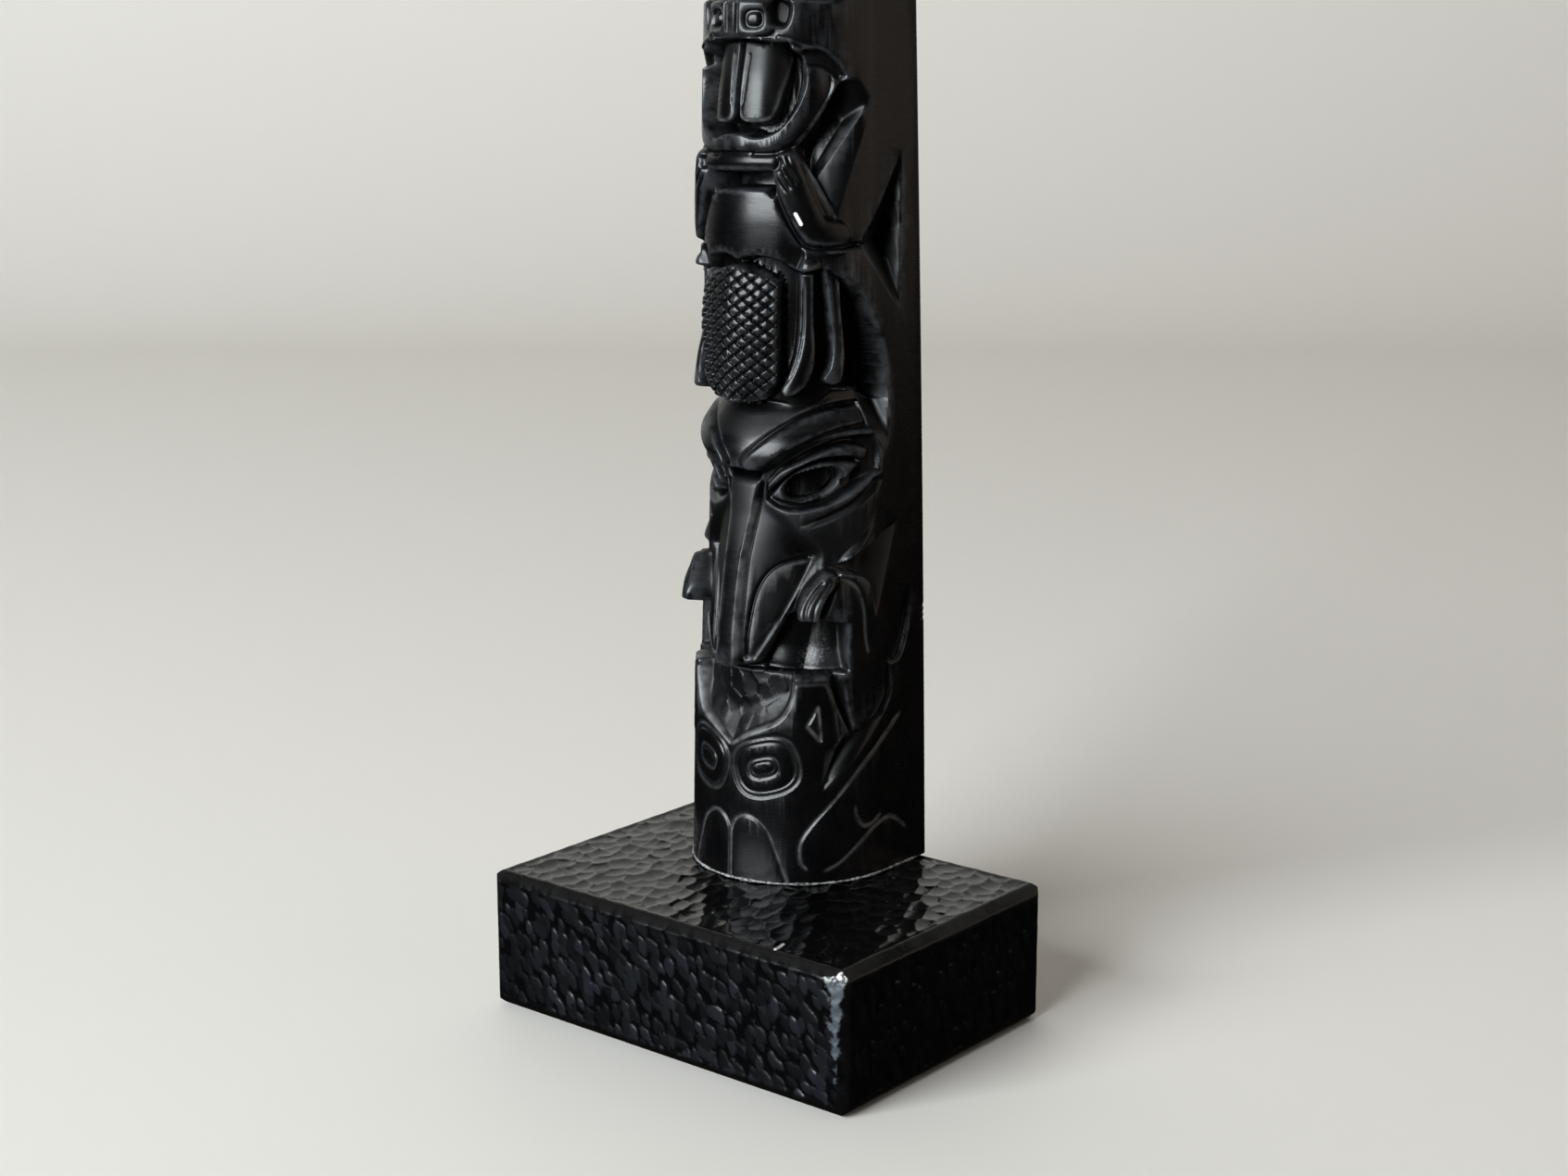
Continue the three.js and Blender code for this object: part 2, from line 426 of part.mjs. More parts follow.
// Neighbouring corners are merged, the least visible merge first, until few enough facets are left.
function withFewerFacets({ points, faces }, wanted) {
  const sums = points.map(() => new Float64Array(10)), around = points.map(() => new Set());
  const stamp = new Uint32Array(points.length), queue = new Queue();
  const triangle = new THREE.Triangle(), plane = new THREE.Plane();
  const live = new Set(faces);
  for (const face of faces) {
    triangle.set(...face.map(i => points[i])).getPlane(plane);
    const add = planeSums(plane, triangle.getArea());
    for (const i of face) {
      around[i].add(face);
      add.forEach((v, k) => { sums[i][k] += v; });
    }
  }
  const neighbours = i => new Set([...around[i]].flat().filter(j => j !== i));
  const onEnd = p => (p.z === FOOT ? 1 : p.z === CROWN ? 2 : 0);

  function offer(a, b) {
    const both = sums[a].map((v, k) => v + sums[b][k]);
    const ends = [onEnd(points[a]), onEnd(points[b])];
    let places = [points[a], points[b], points[a].clone().lerp(points[b], 0.5)];
    if (ends[0] !== ends[1]) places = [ends[0] ? points[a] : points[b]];
    const costs = places.map(place => ({ place, cost: strayFrom(both, place) }));
    const best = costs.sort((p, q) => p.cost - q.cost)[0];
    const spread = EVEN_SPREAD * points[a].distanceToSquared(points[b]);
    queue.push({ ...best, cost: best.cost + spread, a, b, stamps: [stamp[a], stamp[b]] });
  }

  // A merge is refused where it would turn a facet over or pinch the surface.
  function turnsOver(corner, other, place) {
    for (const face of around[corner]) {
      if (face.includes(other)) continue;
      const before = triangle.set(...face.map(i => points[i])).getNormal(new THREE.Vector3());
      triangle.set(...face.map(i => (i === corner ? place : points[i])));
      const after = triangle.getNormal(new THREE.Vector3());
      if (triangle.getArea() < SMALLEST_FACET || before.dot(after) < MOST_TURN) return true;
    }
    return false;
  }

  points.forEach((p, a) => {
    for (const b of neighbours(a)) if (a < b) offer(a, b);
  });
  while (live.size > wanted && queue.items.length) {
    const { a, b, place, stamps } = queue.pop();
    if (stamps[0] !== stamp[a] || stamps[1] !== stamp[b]) continue;
    const shared = neighbours(b).intersection(neighbours(a));
    if (shared.size !== 2 || turnsOver(a, b, place) || turnsOver(b, a, place)) continue;
    points[a] = place.clone();
    sums[a] = sums[a].map((v, k) => v + sums[b][k]);
    for (const face of around[b]) {
      if (face.includes(a)) {
        live.delete(face);
        face.forEach(i => around[i].delete(face));
      } else {
        face[face.indexOf(b)] = a;
        around[a].add(face);
      }
    }
    around[b].clear();
    stamp[a]++;
    stamp[b]++;
    for (const c of neighbours(a)) offer(a, c);
  }
  return { points, faces: [...live] };
}

function facetedGeometry({ points, faces }) {
  const used = [...new Set(faces.flat())];
  const number = new Map(used.map((old, i) => [old, i]));
  const places = used.flatMap(i => points[i].toArray());
  const geometry = new THREE.BufferGeometry();
  geometry.setAttribute('position', new THREE.Float32BufferAttribute(places, 3));
  geometry.setIndex(faces.flat().map(i => number.get(i)));
  return geometry;
}

// ---------------------------------------------------------------- joining
const wasm = await Module();
wasm.setup();

function toSolid(geometry) {
  let bare = geometry.clone();
  bare.deleteAttribute('normal');
  bare.deleteAttribute('uv');
  bare = mergeVertices(bare, SAME_POINT);
  return new wasm.Manifold(new wasm.Mesh({
    numProp: 3, vertProperties: new Float32Array(bare.attributes.position.array),
    triVerts: new Uint32Array(bare.index.array),
  }));
}

function toGeometry(solid) {
  const { vertProperties, triVerts } = solid.getMesh();
  const geometry = new THREE.BufferGeometry();
  geometry.setAttribute('position', new THREE.BufferAttribute(vertProperties, 3));
  geometry.setIndex(new THREE.BufferAttribute(triVerts, 1));
  geometry.computeVertexNormals();
  return geometry;
}

// An ear is what is left of the log above the crown inside an upright rounded outline, its front hollowed.
function ear(side) {
  const { height, width, apart, back, sink, inset } = EAR;
  const r = width / 2;
  const foot = CROWN - sink, tip = CROWN + height;
  const turn = Math.asin(apart / 2 / logRadius(tip));
  const outline = new THREE.Shape().moveTo(-r, foot).lineTo(r, foot).lineTo(r, tip - r);
  outline.absarc(0, tip - r, r, 0, Math.PI);
  const slab = new THREE.ExtrudeGeometry(outline, { depth: back, bevelEnabled: false, curveSegments: 10 });
  slab.rotateX(Math.PI / 2).translate(LOG.centreX + side * apart / 2, back, 0);
  const [top, bottom] = [tip, foot].map(z => logRadius(z) - inset);
  const log = new THREE.CylinderGeometry(top, bottom, tip - foot + 2, 64);
  log.rotateX(Math.PI / 2).translate(LOG.centreX, LOG.centreY, (tip + foot) / 2);
  const across = EAR_DISH.share * width;
  const dish = new THREE.SphereGeometry(1, 16, 10).scale(across, EAR_DISH.depth, across);
  dish.translate(0, inset - logRadius(tip), tip - r).rotateZ(side * turn);
  dish.translate(LOG.centreX, LOG.centreY, 0);
  return toSolid(slab).intersect(toSolid(log)).subtract(toSolid(dish));
}

function poleGeometry() {
  carveWhale();
  carveBirdHead();
  carveBirdEyes();
  carveBirdWings();
  carveLegs();
  carveArms();
  carveMouth();
  carveNoseAndEyes();
  const pole = toSolid(facetedGeometry(withFewerFacets(closedLog(), FACETS)));
  return toGeometry(pole.add(ear(1)).add(ear(-1)));
}

// ---------------------------------------------------------------- plinth
// Hand-made unevenness: a fixed pattern of values between -1 and 1 that never quite repeats.
const uneven = (i, z, turn) => Math.sin(7.3 * i + 4.1 * z + 2.3 * turn + 9 * Math.sin(3.7 * i + z));

// A block with bevelled edges whose four sides are gouged into shallow facets; its top and foot are flat.
function plinthGeometry() {
  const { width, depth, height, bevel, facet, gouge } = PLINTH;
  const sides = [[width, depth], [depth, width], [width, depth], [depth, width]];
  const ringPoints = (inset, z, wave) => sides.flatMap(([run, across], turn) => {
    const count = Math.round((run - 2 * bevel) / facet);
    const reach = run / 2 - bevel;
    const points = [];
    for (let i = 0; i <= count; i++) {
      const vary = i === 0 || i === count ? 0 : wave;
      const dip = vary * gouge * (1 + uneven(i, z, turn)) / 2;
      const along = -reach + 2 * reach * i / count + vary * uneven(z, i, turn);
      const point = new THREE.Vector3(along, inset + dip - across / 2, z);
      points.push(point.applyAxisAngle(new THREE.Vector3(0, 0, 1), turn * Math.PI / 2));
    }
    return points;
  });
  const rows = Math.round((height - 2 * bevel) / facet);
  const rings = [ringPoints(bevel, 0, 0)];
  for (let j = 0; j <= rows; j++) rings.push(ringPoints(0, bevel + (height - 2 * bevel) * j / rows, 1));
  rings.push(ringPoints(bevel, height, 0));
  const n = rings[0].length, positions = rings.flat();
  const faces = [];
  for (let j = 0; j + 1 < rings.length; j++) {
    for (let i = 0; i < n; i++) {
      const a = j * n + i, b = j * n + (i + 1) % n, c = a + n, d = b + n;
      faces.push(...((i + j) % 2 ? [a, b, d, a, d, c] : [a, b, c, b, d, c]));
    }
  }
  for (const [start, z, up] of [[0, 0, false], [(rings.length - 1) * n, height, true]]) {
    const centre = positions.push(new THREE.Vector3(0, 0, z)) - 1;
    for (let i = 0; i < n; i++) {
      const a = start + i, b = start + (i + 1) % n;
      faces.push(...(up ? [a, b, centre] : [b, a, centre]));
    }
  }
  const geometry = new THREE.BufferGeometry();
  const places = positions.flatMap(p => p.toArray());
  geometry.setAttribute('position', new THREE.Float32BufferAttribute(places, 3));
  geometry.setIndex(faces);
  geometry.computeVertexNormals();
  return geometry;
}

// ---------------------------------------------------------------- the object
function piece(name, geometry, color, roughness) {
  const material = new THREE.MeshStandardMaterial({ color, roughness, metalness: 0 });
  const mesh = new THREE.Mesh(geometry, material);
  mesh.name = name;
  return mesh;
}

const totemPole = new THREE.Group();
totemPole.add(piece('plinth', plinthGeometry(), 0x141416, 0.35));
totemPole.add(piece('pole', poleGeometry(), 0x17171a, 0.4));

export default totemPole;
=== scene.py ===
# %% [markdown]
# # A small carved totem pole
#
# This lesson makes a souvenir totem pole: a half-round log of near-black stone, carved with a whale, a
# beaked bird and a beaver, on a gouged rectangular plinth. The plain solids come from a fixed frame.
# Here they get their fine carving, their chisel marks and their finish. Sizes of the object are in
# millimetres until a mesh is made, because a carver thinks in them. The studio's are in metres.

# %% Load the frame
import math

import bpy
import numpy as np
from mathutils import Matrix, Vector


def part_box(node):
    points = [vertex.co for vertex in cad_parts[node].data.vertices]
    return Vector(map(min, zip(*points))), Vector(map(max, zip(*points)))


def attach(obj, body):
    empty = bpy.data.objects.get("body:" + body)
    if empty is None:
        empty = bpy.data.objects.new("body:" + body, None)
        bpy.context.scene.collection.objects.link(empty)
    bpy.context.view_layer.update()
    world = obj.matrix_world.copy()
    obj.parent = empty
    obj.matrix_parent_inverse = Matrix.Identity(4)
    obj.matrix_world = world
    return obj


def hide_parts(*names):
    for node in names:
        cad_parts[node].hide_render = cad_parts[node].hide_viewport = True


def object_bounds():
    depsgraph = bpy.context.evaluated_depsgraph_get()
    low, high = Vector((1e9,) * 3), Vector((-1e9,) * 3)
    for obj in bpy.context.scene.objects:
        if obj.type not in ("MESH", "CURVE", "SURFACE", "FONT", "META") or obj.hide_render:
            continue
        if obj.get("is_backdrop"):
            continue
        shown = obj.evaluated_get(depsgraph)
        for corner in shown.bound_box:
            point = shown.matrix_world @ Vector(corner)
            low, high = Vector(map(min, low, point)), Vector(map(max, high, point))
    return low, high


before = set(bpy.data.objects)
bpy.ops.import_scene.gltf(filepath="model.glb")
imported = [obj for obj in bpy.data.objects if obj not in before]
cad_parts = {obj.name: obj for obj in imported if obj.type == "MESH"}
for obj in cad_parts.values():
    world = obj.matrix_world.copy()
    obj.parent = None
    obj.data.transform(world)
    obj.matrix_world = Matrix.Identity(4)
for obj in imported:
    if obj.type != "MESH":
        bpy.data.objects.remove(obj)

MM = 0.001
cad_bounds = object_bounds()
print("nodes:", sorted(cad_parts))
print("overall size in mm:", [round(v / MM, 1) for v in cad_bounds[1] - cad_bounds[0]])

# %% [markdown]
# ## The camera
#
# A small thing on a table is looked at from a little above it and from one side, so that the carved
# front and one flank both show. The camera comes first.

# %% Place the camera
FRAME_WIDTH, FOCAL_LENGTH = 1693, 2700
CAMERA_PLACE, CAMERA_LOOK = (212.1, -254.2, 135.3), (-0.619, 0.754, -0.219)
camera = bpy.data.objects.new("camera", bpy.data.cameras.new("camera"))
bpy.context.collection.objects.link(camera)
camera.data.sensor_width = 36
camera.data.lens = camera.data.sensor_width * FOCAL_LENGTH / FRAME_WIDTH
camera.data.clip_start = 0.01
camera.location = Vector(CAMERA_PLACE) * MM
camera.rotation_euler = Vector(CAMERA_LOOK).to_track_quat("-Z", "Y").to_euler()
bpy.context.scene.camera = camera
print("lens in mm:", round(camera.data.lens, 1))

# %% [markdown]
# ## The log
#
# The pole starts as a half-round log: a round front, two short flat flanks and a flat back. Everything
# carved on it is a height over its unrolled surface. On that flat sheet s runs round the log from the
# front centre line and z is the height, so an eye or a beak is drawn where a carver would draw it.

# %% Sizes of the log
plinth_low, plinth_high = (np.array(corner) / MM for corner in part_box("plinth"))
_, pole_high = (np.array(corner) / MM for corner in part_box("pole"))
FOOT = plinth_high[2]
CROWN = 159.0
CROWN_ROUND = 3.2
RADIUS, TAPER = 15.0, 0.00128
CENTRE_X, CENTRE_Y = -3.5, 11.6
BACK, LEAN, LEAN_RISE = 22.4, 1.4, 125.0
CORNER = 0.8


def log_radius(z):
    return RADIUS * (1 - TAPER * (z - FOOT))


def log_back(z):
    return BACK - LEAN * ((z - FOOT) / LEAN_RISE) ** 2


print("the pole stands from", FOOT, "to", round(pole_high[2], 1), "mm")

# %% [markdown]
# ## Curves that the knife follows
#
# A knife line is a few points joined by a smooth curve, and some of its points are sharp corners. Each
# stretch is a cubic whose slope comes from the neighbouring points, weighted by their distance, so that
# uneven points don't make loops. A height that changes along the pole is a profile with rounded bends.

# %% Smooth lines and profiles
SAME_PLACE = 1e-12


def ease(x, start, end):
    """0 at start, 1 at end, smooth between."""
    k = np.clip((x - start) / (end - start), 0, 1)
    return k * k * (3 - 2 * k)


def profile(x, *stops, bend=1.0, samples=9):
    """The height at x along stops of (place, height), with its bends rounded over a length."""
    places, heights = zip(*stops)
    offsets = np.linspace(-bend, bend, samples)
    return sum(np.interp(x + offset, places, heights) for offset in offsets) / len(offsets)


def mirrored(points):
    """The whole outline whose right half is given."""
    return [(-s, z) for s, z in points[::-1] if s > 0] + points


def smooth_line(points, closed=False, sharp=(), steps=7):
    """A curve through the points; the points numbered in sharp stay corners."""
    p = np.array(points, float)
    n = len(p)
    line = []
    for i in range(n if closed else n - 1):
        a, b = p[i], p[(i + 1) % n]
        before = a if i in sharp or (not closed and i == 0) else p[i - 1]
        after = b if (i + 1) % n in sharp or (not closed and i == n - 2) else p[(i + 2) % n]
        first, middle, last = (np.linalg.norm(d) for d in (a - before, b - a, after - b))
        leave = (b - before) * middle / (first + middle)
        arrive = (after - a) * middle / (middle + last)
        for u in np.arange(steps) / steps:
            w = 1 - u
            line.append(w * w * (1 + 2 * u) * a + u * w * w * leave
                        + u * u * (3 - 2 * u) * b - u * u * w * arrive)
    if not closed:
        line.append(p[-1])
    return np.array(line)


def along_line(line, closed, s, z):
    """For each place its distance to a line (minus inside a closed one) and how far along it is, 0 to 1."""
    n = len(line)
    count = n if closed else n - 1
    nearest, along = np.full(s.shape, np.inf), np.zeros(s.shape)
    inside = np.zeros(s.shape, bool)
    for i in range(count):
        a, b = line[i], line[(i + 1) % n]
        ab = b - a
        square = ab @ ab
        if square < SAME_PLACE:
            continue
        k = np.clip(((s - a[0]) * ab[0] + (z - a[1]) * ab[1]) / square, 0, 1)
        gap = (s - a[0] - k * ab[0]) ** 2 + (z - a[1] - k * ab[1]) ** 2
        closer = gap < nearest
        nearest[closer] = gap[closer]
        along[closer] = ((i + k) / count)[closer]
        if closed and a[1] != b[1]:
            crossed = (a[1] > z) != (b[1] > z)
            inside ^= crossed & (s < a[0] + (z - a[1]) / (b[1] - a[1]) * ab[0])
    distance = np.sqrt(nearest)
    return np.where(inside, -distance, distance), along


print("a rounded square has", len(smooth_line([(0, 0), (1, 0), (1, 1), (0, 1)], True)), "points")

# %% [markdown]
# ## The carver's strokes
#
# A real carver uses few moves: outline a shape and take its inside down to a level, leave a ridge, run a
# V channel, scratch a thin line, round a boss. Each is one method of the sheet below. The sheet is a grid
# of heights a tenth of a millimetre apart, because the finest scratched lines are a third of one wide.
# A scratched line also leaves pale stone dust in it, so the sheet keeps a second grid for that, which also
# holds the pale lines painted along edges as highlights, and a third one for the crumbs that a tool leaves in
# a hollow.

# %% The sheet of stone
class Sheet:
    STEP = 0.1

    def __init__(self, reach, low, high):
        self.low = low
        places = np.arange(0, reach, self.STEP), np.arange(low, high, self.STEP)
        self.s, self.z = np.meshgrid(*places)
        self.height = np.zeros_like(self.s)
        self.pale, self.crumbs = np.zeros_like(self.s), np.zeros_like(self.s)

    def window(self, line, margin):
        """The part of the sheet around a line, as slices."""
        low = (line.min(0) - margin - (0, self.low)) / self.STEP
        high = (line.max(0) + margin - (0, self.low)) / self.STEP + 2
        (i0, j0), (i1, j1) = (np.maximum(v, 0).astype(int) for v in (low, high))
        return slice(j0, j1), slice(i0, i1)

    def near(self, points, margin, closed=False, sharp=()):
        """The part of the sheet round a curve, with distances to the curve and how far along it they are."""
        line = smooth_line(points, closed, sharp)
        w = self.window(line, margin)
        return w, *along_line(line, closed, self.s[w], self.z[w])

    def cut(self, points, floor, wall=0.5, sharp=(), mirror=False, mode="set"):
        """Bring the inside of an outline to a floor. A mirrored outline is the right half of one."""
        outline = mirrored(points) if mirror else points
        corners = points if sharp == "all" else [points[i] for i in sharp]
        sharp = [i for i, (s, z) in enumerate(outline) if (abs(s), z) in corners]
        w, distance, _ = self.near(outline, wall, True, sharp)
        s, z, now = self.s[w], self.z[w], self.height[w]
        level = floor(s, z) if callable(floor) else np.full(s.shape, float(floor))
        level = {"set": level, "lower": np.minimum(level, now), "raise": np.maximum(level, now),
                 "add": now + level}[mode]
        self.height[w] = now + ease(distance, wall / 2, -wall / 2) * (level - now)

    def scratch(self, points, half=0.3, depth=0.32, closed=False, sharp=(), fade=0.0, pale=0.5):
        """A thin incised line with pale dust in it."""
        w, distance, along = self.near(points, half, closed, sharp)
        self.incise(w, np.abs(distance), half, depth, self.fading(along, fade), pale)

    def incise(self, w, distance, half, depth, strength, pale):
        groove = np.clip(1 - (distance / half) ** 2, 0, 1) ** 1.5 * strength
        self.height[w] -= depth * groove
        self.pale[w] = np.maximum(self.pale[w], pale * groove)

    @staticmethod
    def fading(along, share):
        return ease(along, 0, share) * ease(along, 1, 1 - share) if share else 1

    def ridge(self, points, half, height, wall=0.6, bulge=(0, 0), mode="add"):
        """A raised strip; half width, height and bulge run from their first to their second value."""
        w, distance, along = self.near(points, max(half) + wall)
        reach, level, swell = (a + (b - a) * along for a, b in (half, height, bulge))
        top = level + swell * np.clip(1 - (distance / reach) ** 2, 0, 1)
        now = self.height[w]
        strength = ease(distance, reach + wall / 2, reach - wall / 2)
        self.height[w] = now + strength * (top - now if mode == "set" else top)

    def valley(self, points, half, depth, fade=0.0):
        """A V channel."""
        w, distance, along = self.near(points, max(half))
        reach = half[0] + (half[1] - half[0]) * along
        self.height[w] -= depth * np.clip(1 - distance / reach, 0, 1) * self.fading(along, fade)

    def oval(self, centre, half, tilt, power):
        """The part of the sheet round a squarish oval, its size (1 on the rim) and distance to the rim."""
        reach = 1.5 * max(half) + 1.5
        w = self.window(np.array([centre]), reach)
        s, z = self.s[w] - centre[0], self.z[w] - centre[1]
        c, q = math.cos(math.radians(tilt)), math.sin(math.radians(tilt))
        x, y = (c * s + q * z) / half[0], (c * z - q * s) / half[1]
        size = (np.abs(x) ** power + np.abs(y) ** power) ** (1 / power)
        scale = np.hypot(x, y) / np.maximum(np.hypot(x / half[0], y / half[1]), 1e-6)
        return w, size, (size - 1) * scale

    def boss(self, centre, half, tilt, height, power=2.0, wall=0.0):
        """A rounded boss, or a flat one with a side wall. A minus height makes a hollow."""
        w, size, distance = self.oval(centre, half, tilt, power)
        shape = ease(distance, wall / 2, -wall / 2) if wall else np.clip(1 - size ** 2, 0, 1)
        self.height[w] += height * shape

    def ring(self, centre, half, tilt, line=0.3, depth=0.32, power=2.0, pale=0.5):
        """An incised oval line."""
        w, _, distance = self.oval(centre, half, tilt, power)
        self.incise(w, np.abs(distance), line, depth, 1, pale)

    def wear_and_highlight(self, points, half, amount):
        """A pale line along an edge, without a groove: partly rubbed wear, partly a painted highlight."""
        self.scratch(points, half, 0.0, fade=0.1, pale=amount)

    def dust(self, centre, half, tilt, amount=0.9):
        """Pale crumbs that a tool left, thinning out towards the rim of an oval."""
        w, size, _ = self.oval(centre, half, tilt, 2.0)
        self.crumbs[w] = np.maximum(self.crumbs[w], amount * np.clip(1.3 * (1 - size), 0, 1))

    def blurred(self, grid, radius):
        """A grid averaged over a radius; the sheet is mirrored at the front centre line."""
        n = max(1, round(radius / self.STEP))
        weights = np.exp(-0.5 * (np.arange(-2 * n, 2 * n + 1) / n) ** 2)
        weights /= weights.sum()
        wide = np.hstack([grid[:, 2 * n:0:-1], grid, np.repeat(grid[:, -1:], 2 * n, 1)])
        wide = np.vstack([np.repeat(wide[:1], 2 * n, 0), wide, np.repeat(wide[-1:], 2 * n, 0)])
        rows, columns = grid.shape
        wide = sum(k * wide[i:i + rows] for i, k in enumerate(weights))
        return sum(k * wide[:, i:i + columns] for i, k in enumerate(weights))

    def at(self, grid, s, z):
        """A grid's value at places on the sheet."""
        x = np.clip(np.abs(s) / self.STEP, 0, grid.shape[1] - 1.001)
        y = np.clip((z - self.low) / self.STEP, 0, grid.shape[0] - 1.001)
        i, j = x.astype(int), y.astype(int)
        u, v = x - i, y - j
        low = grid[j, i] * (1 - u) + grid[j, i + 1] * u
        high = grid[j + 1, i] * (1 - u) + grid[j + 1, i + 1] * u
        return low * (1 - v) + high * v


SHEET_REACH = 36.0
LAST_PLACE = SHEET_REACH - 0.5
sheet = Sheet(SHEET_REACH, FOOT, CROWN + 2)
print("the sheet has", sheet.height.shape, "points")

# %% [markdown]
# ## The whale
#
# The lowest figure is mostly scratched into the log: two teeth, an eye like a rounded box, and fins that
# run round the flanks. Only its brow is hollowed out, in two lobes that meet in a V over the centre line.

# %% Carve the whale
def carve_whale(sheet):
    brow = [(0, 39.2), (3, 41.1), (5, 42), (7, 43), (8.3, 44.7), (9, 47), (9.1, 49.4), (0, 49.4)]
    sheet.cut(brow, lambda s, z: -0.2 - 2.0 * ease(z - 0.35 * np.abs(s), 38.6, 44) - 0.25 * ease(s, 8.6, 6),
              wall=0.7, sharp=(0, 6, 7), mirror=True)
    sheet.wear_and_highlight([(1, 39.7), (3, 40.9), (5, 41.8), (7.3, 43), (8.6, 44.8), (9.2, 47), (9.2, 48.4)], 0.42, 0.75)
    sheet.wear_and_highlight([(0, 39), (1.4, 39.8)], 0.3, 0.6)
    block = [(9.4, 42), (9.3, 48.2), (13.8, 48.4), (14.8, 45), (15.6, 40), (12, 38.5)]
    sheet.cut(block, 0.1, sharp="all")
    sheet.valley([(14.9, 50.5), (16, 45.5), (17.6, 41.4)], (1.5, 0.4), 1.6)
    fin = [(13.2, 33), (16.4, 40.3), (20, 41.7), (23.2, 45), (24.8, 47.5), (25.2, 45), (20.4, 39.2),
           (15.4, 35)]
    sheet.cut(fin, lambda s, z: -1.5 * ease(z - 33 - 1.02 * (s - 13.2), -1.2, 3.2), wall=0.3, sharp=(0, 4))
    sheet.scratch([(0, 19), (0, 26.9)])
    sheet.scratch([(0, 26.8), (1.1, 28.6), (3.1, 29.2), (5.4, 27.7), (7, 24.4), (8.7, 20.2)])
    sheet.ring((5.3, 36.4), (4.85, 4.05), 17, 0.26, 0.36, 2.7, pale=0.22)
    sheet.ring((5.3, 36.4), (4.1, 3.35), 17, 0.2, 0.28, 2.7, pale=0.05)
    sheet.ring((5.1, 36.3), (2.2, 1.4), 17, 0.22, 0.32, 2.7, pale=0.2)
    sheet.ring((5.1, 36.3), (1.6, 0.85), 17, 0.16, 0.2, 2.7, pale=0.05)
    sheet.scratch([(12.5, 45), (11, 42.3), (13, 40.2)], 0.26, closed=True, sharp=(0, 1, 2))
    sheet.scratch([(9.3, 48.1), (13.7, 48.3), (14.7, 45.5), (15.7, 40)], 0.2, 0.25, sharp=(1,), pale=0.25)
    sheet.scratch([(28, 42.5), (25, 40.4), (20, 36.6), (15, 31.6), (12, 28.6), (10.3, 26), (10.3, 23.4),
                   (11.6, 21.9)], 0.3, 0.36, fade=0.08)
    sheet.scratch([(13.5, 21.7), (16, 22.8), (19, 25), (22, 27), (25, 27.6), (27, 26.8), (29.5, 24.8)],
                  fade=0.08)
    sheet.scratch([(18.2, 31), (18.6, 29), (20, 27.5), (22, 27.8), (23.5, 29)], fade=0.15, pale=0.35)


carve_whale(sheet)
print("deepest cut in mm:", round(float(sheet.height.min()), 2))

# %% [markdown]
# ## The bird
#
# The middle figure is a bird of prey. Its brow is a raised band, its eyes are deep holes inside pointed
# lids, and its beak comes forward as it goes down, so that its tip stands free over a dark hollow. A claw
# hooks over that hollow on each side, and feathers are chip cuts along the flanks.

# %% Carve the bird
BEAK_FRONT = [(50, 1.8), (54, 1.6), (60, 0.9), (65, 0.1), (71, -1.4), (75.4, -1.9), (77.2, -4.0)]


def beak_front(z):
    return profile(z, *BEAK_FRONT, bend=0.7)


def carve_bird_head(sheet):
    forehead = [(0, 79), (24, 79), (24, 88), (0, 88)]
    sheet.cut(forehead, lambda s, z: profile(z, (80.4, 0), (82.5, -0.9), (86.4, -3.4), (88, -3.5)),
              wall=0.4, sharp="all", mirror=True)
    face = [(0, 77.4), (3, 77), (6, 78.4), (10, 80.6), (15, 82), (21, 82.4), (21.6, 77), (21, 70), (16, 64.5),
            (12.5, 57), (0, 57)]
    sheet.cut(face, lambda s, z: (-1.7 * ease(np.abs(s), 23, 12)
                                  - 0.5 * ease(z, 60, 70) * ease(np.abs(s), 14, 4)),
              wall=0.8, sharp=(0, 5, 10), mirror=True)
    side = [(0, 50.2), (3.6, 50.8), (8.2, 58.4), (12.3, 65.2), (9, 68), (5, 72), (3.2, 74), (0, 74)]
    sheet.cut(side, lambda s, z: (beak_front(z) - 0.75
                                  - 0.28 * np.maximum(np.abs(s) - 1.5, 0) * ease(z, 76, 64)),
              wall=2.6, sharp=(1,), mirror=True)
    under = [(3.8, 50.4), (8.4, 58.2), (12.6, 65.2), (12.4, 56), (9, 50)]
    sheet.cut(under, -2.2, wall=0.4, sharp="all", mode="lower")
    front = [(0, 50.0), (1.7, 50.2), (1.45, 54), (1.6, 65), (2.1, 71), (2.8, 75.5), (3.6, 77.2), (0, 77.2)]
    sheet.cut(front, lambda s, z: beak_front(z), wall=0.25, sharp=(0, 1, 6), mirror=True)
    sheet.scratch([(1.95, 50.6), (1.75, 54), (1.95, 65), (2.6, 71), (3.4, 75.3)], 0.42, 0.7, pale=0)
    sheet.ridge([(1.5, 51.5), (1.35, 55), (1.45, 65), (2.05, 71), (2.6, 73.5)], (0.1, 0.12), (0.1, 0.14),
                wall=0.2)
    sheet.wear_and_highlight([(1.55, 51), (1.4, 55), (1.45, 60), (1.65, 65), (2.1, 70.5), (2.6, 73.5)], 0.26, 1.0)
    panel = [(12.2, 65.1), (9, 65), (6.3, 64.2), (4.4, 62.4), (3.3, 59.5), (2.7, 55), (2.6, 51.7),
             (3.6, 51.6), (8.0, 58.6)]
    sheet.scratch(panel[:7], 0.36, 0.5, pale=0)
    sheet.scratch(panel[6:] + panel[:1], 0.28, 0.35, sharp=(0, 1), pale=0.45)
    sheet.wear_and_highlight([(11.6, 64.6), (8.8, 64.3), (6.7, 63.6), (5, 62), (4, 59.3), (3.3, 55), (3.2, 52.2)], 0.22, 0.6)


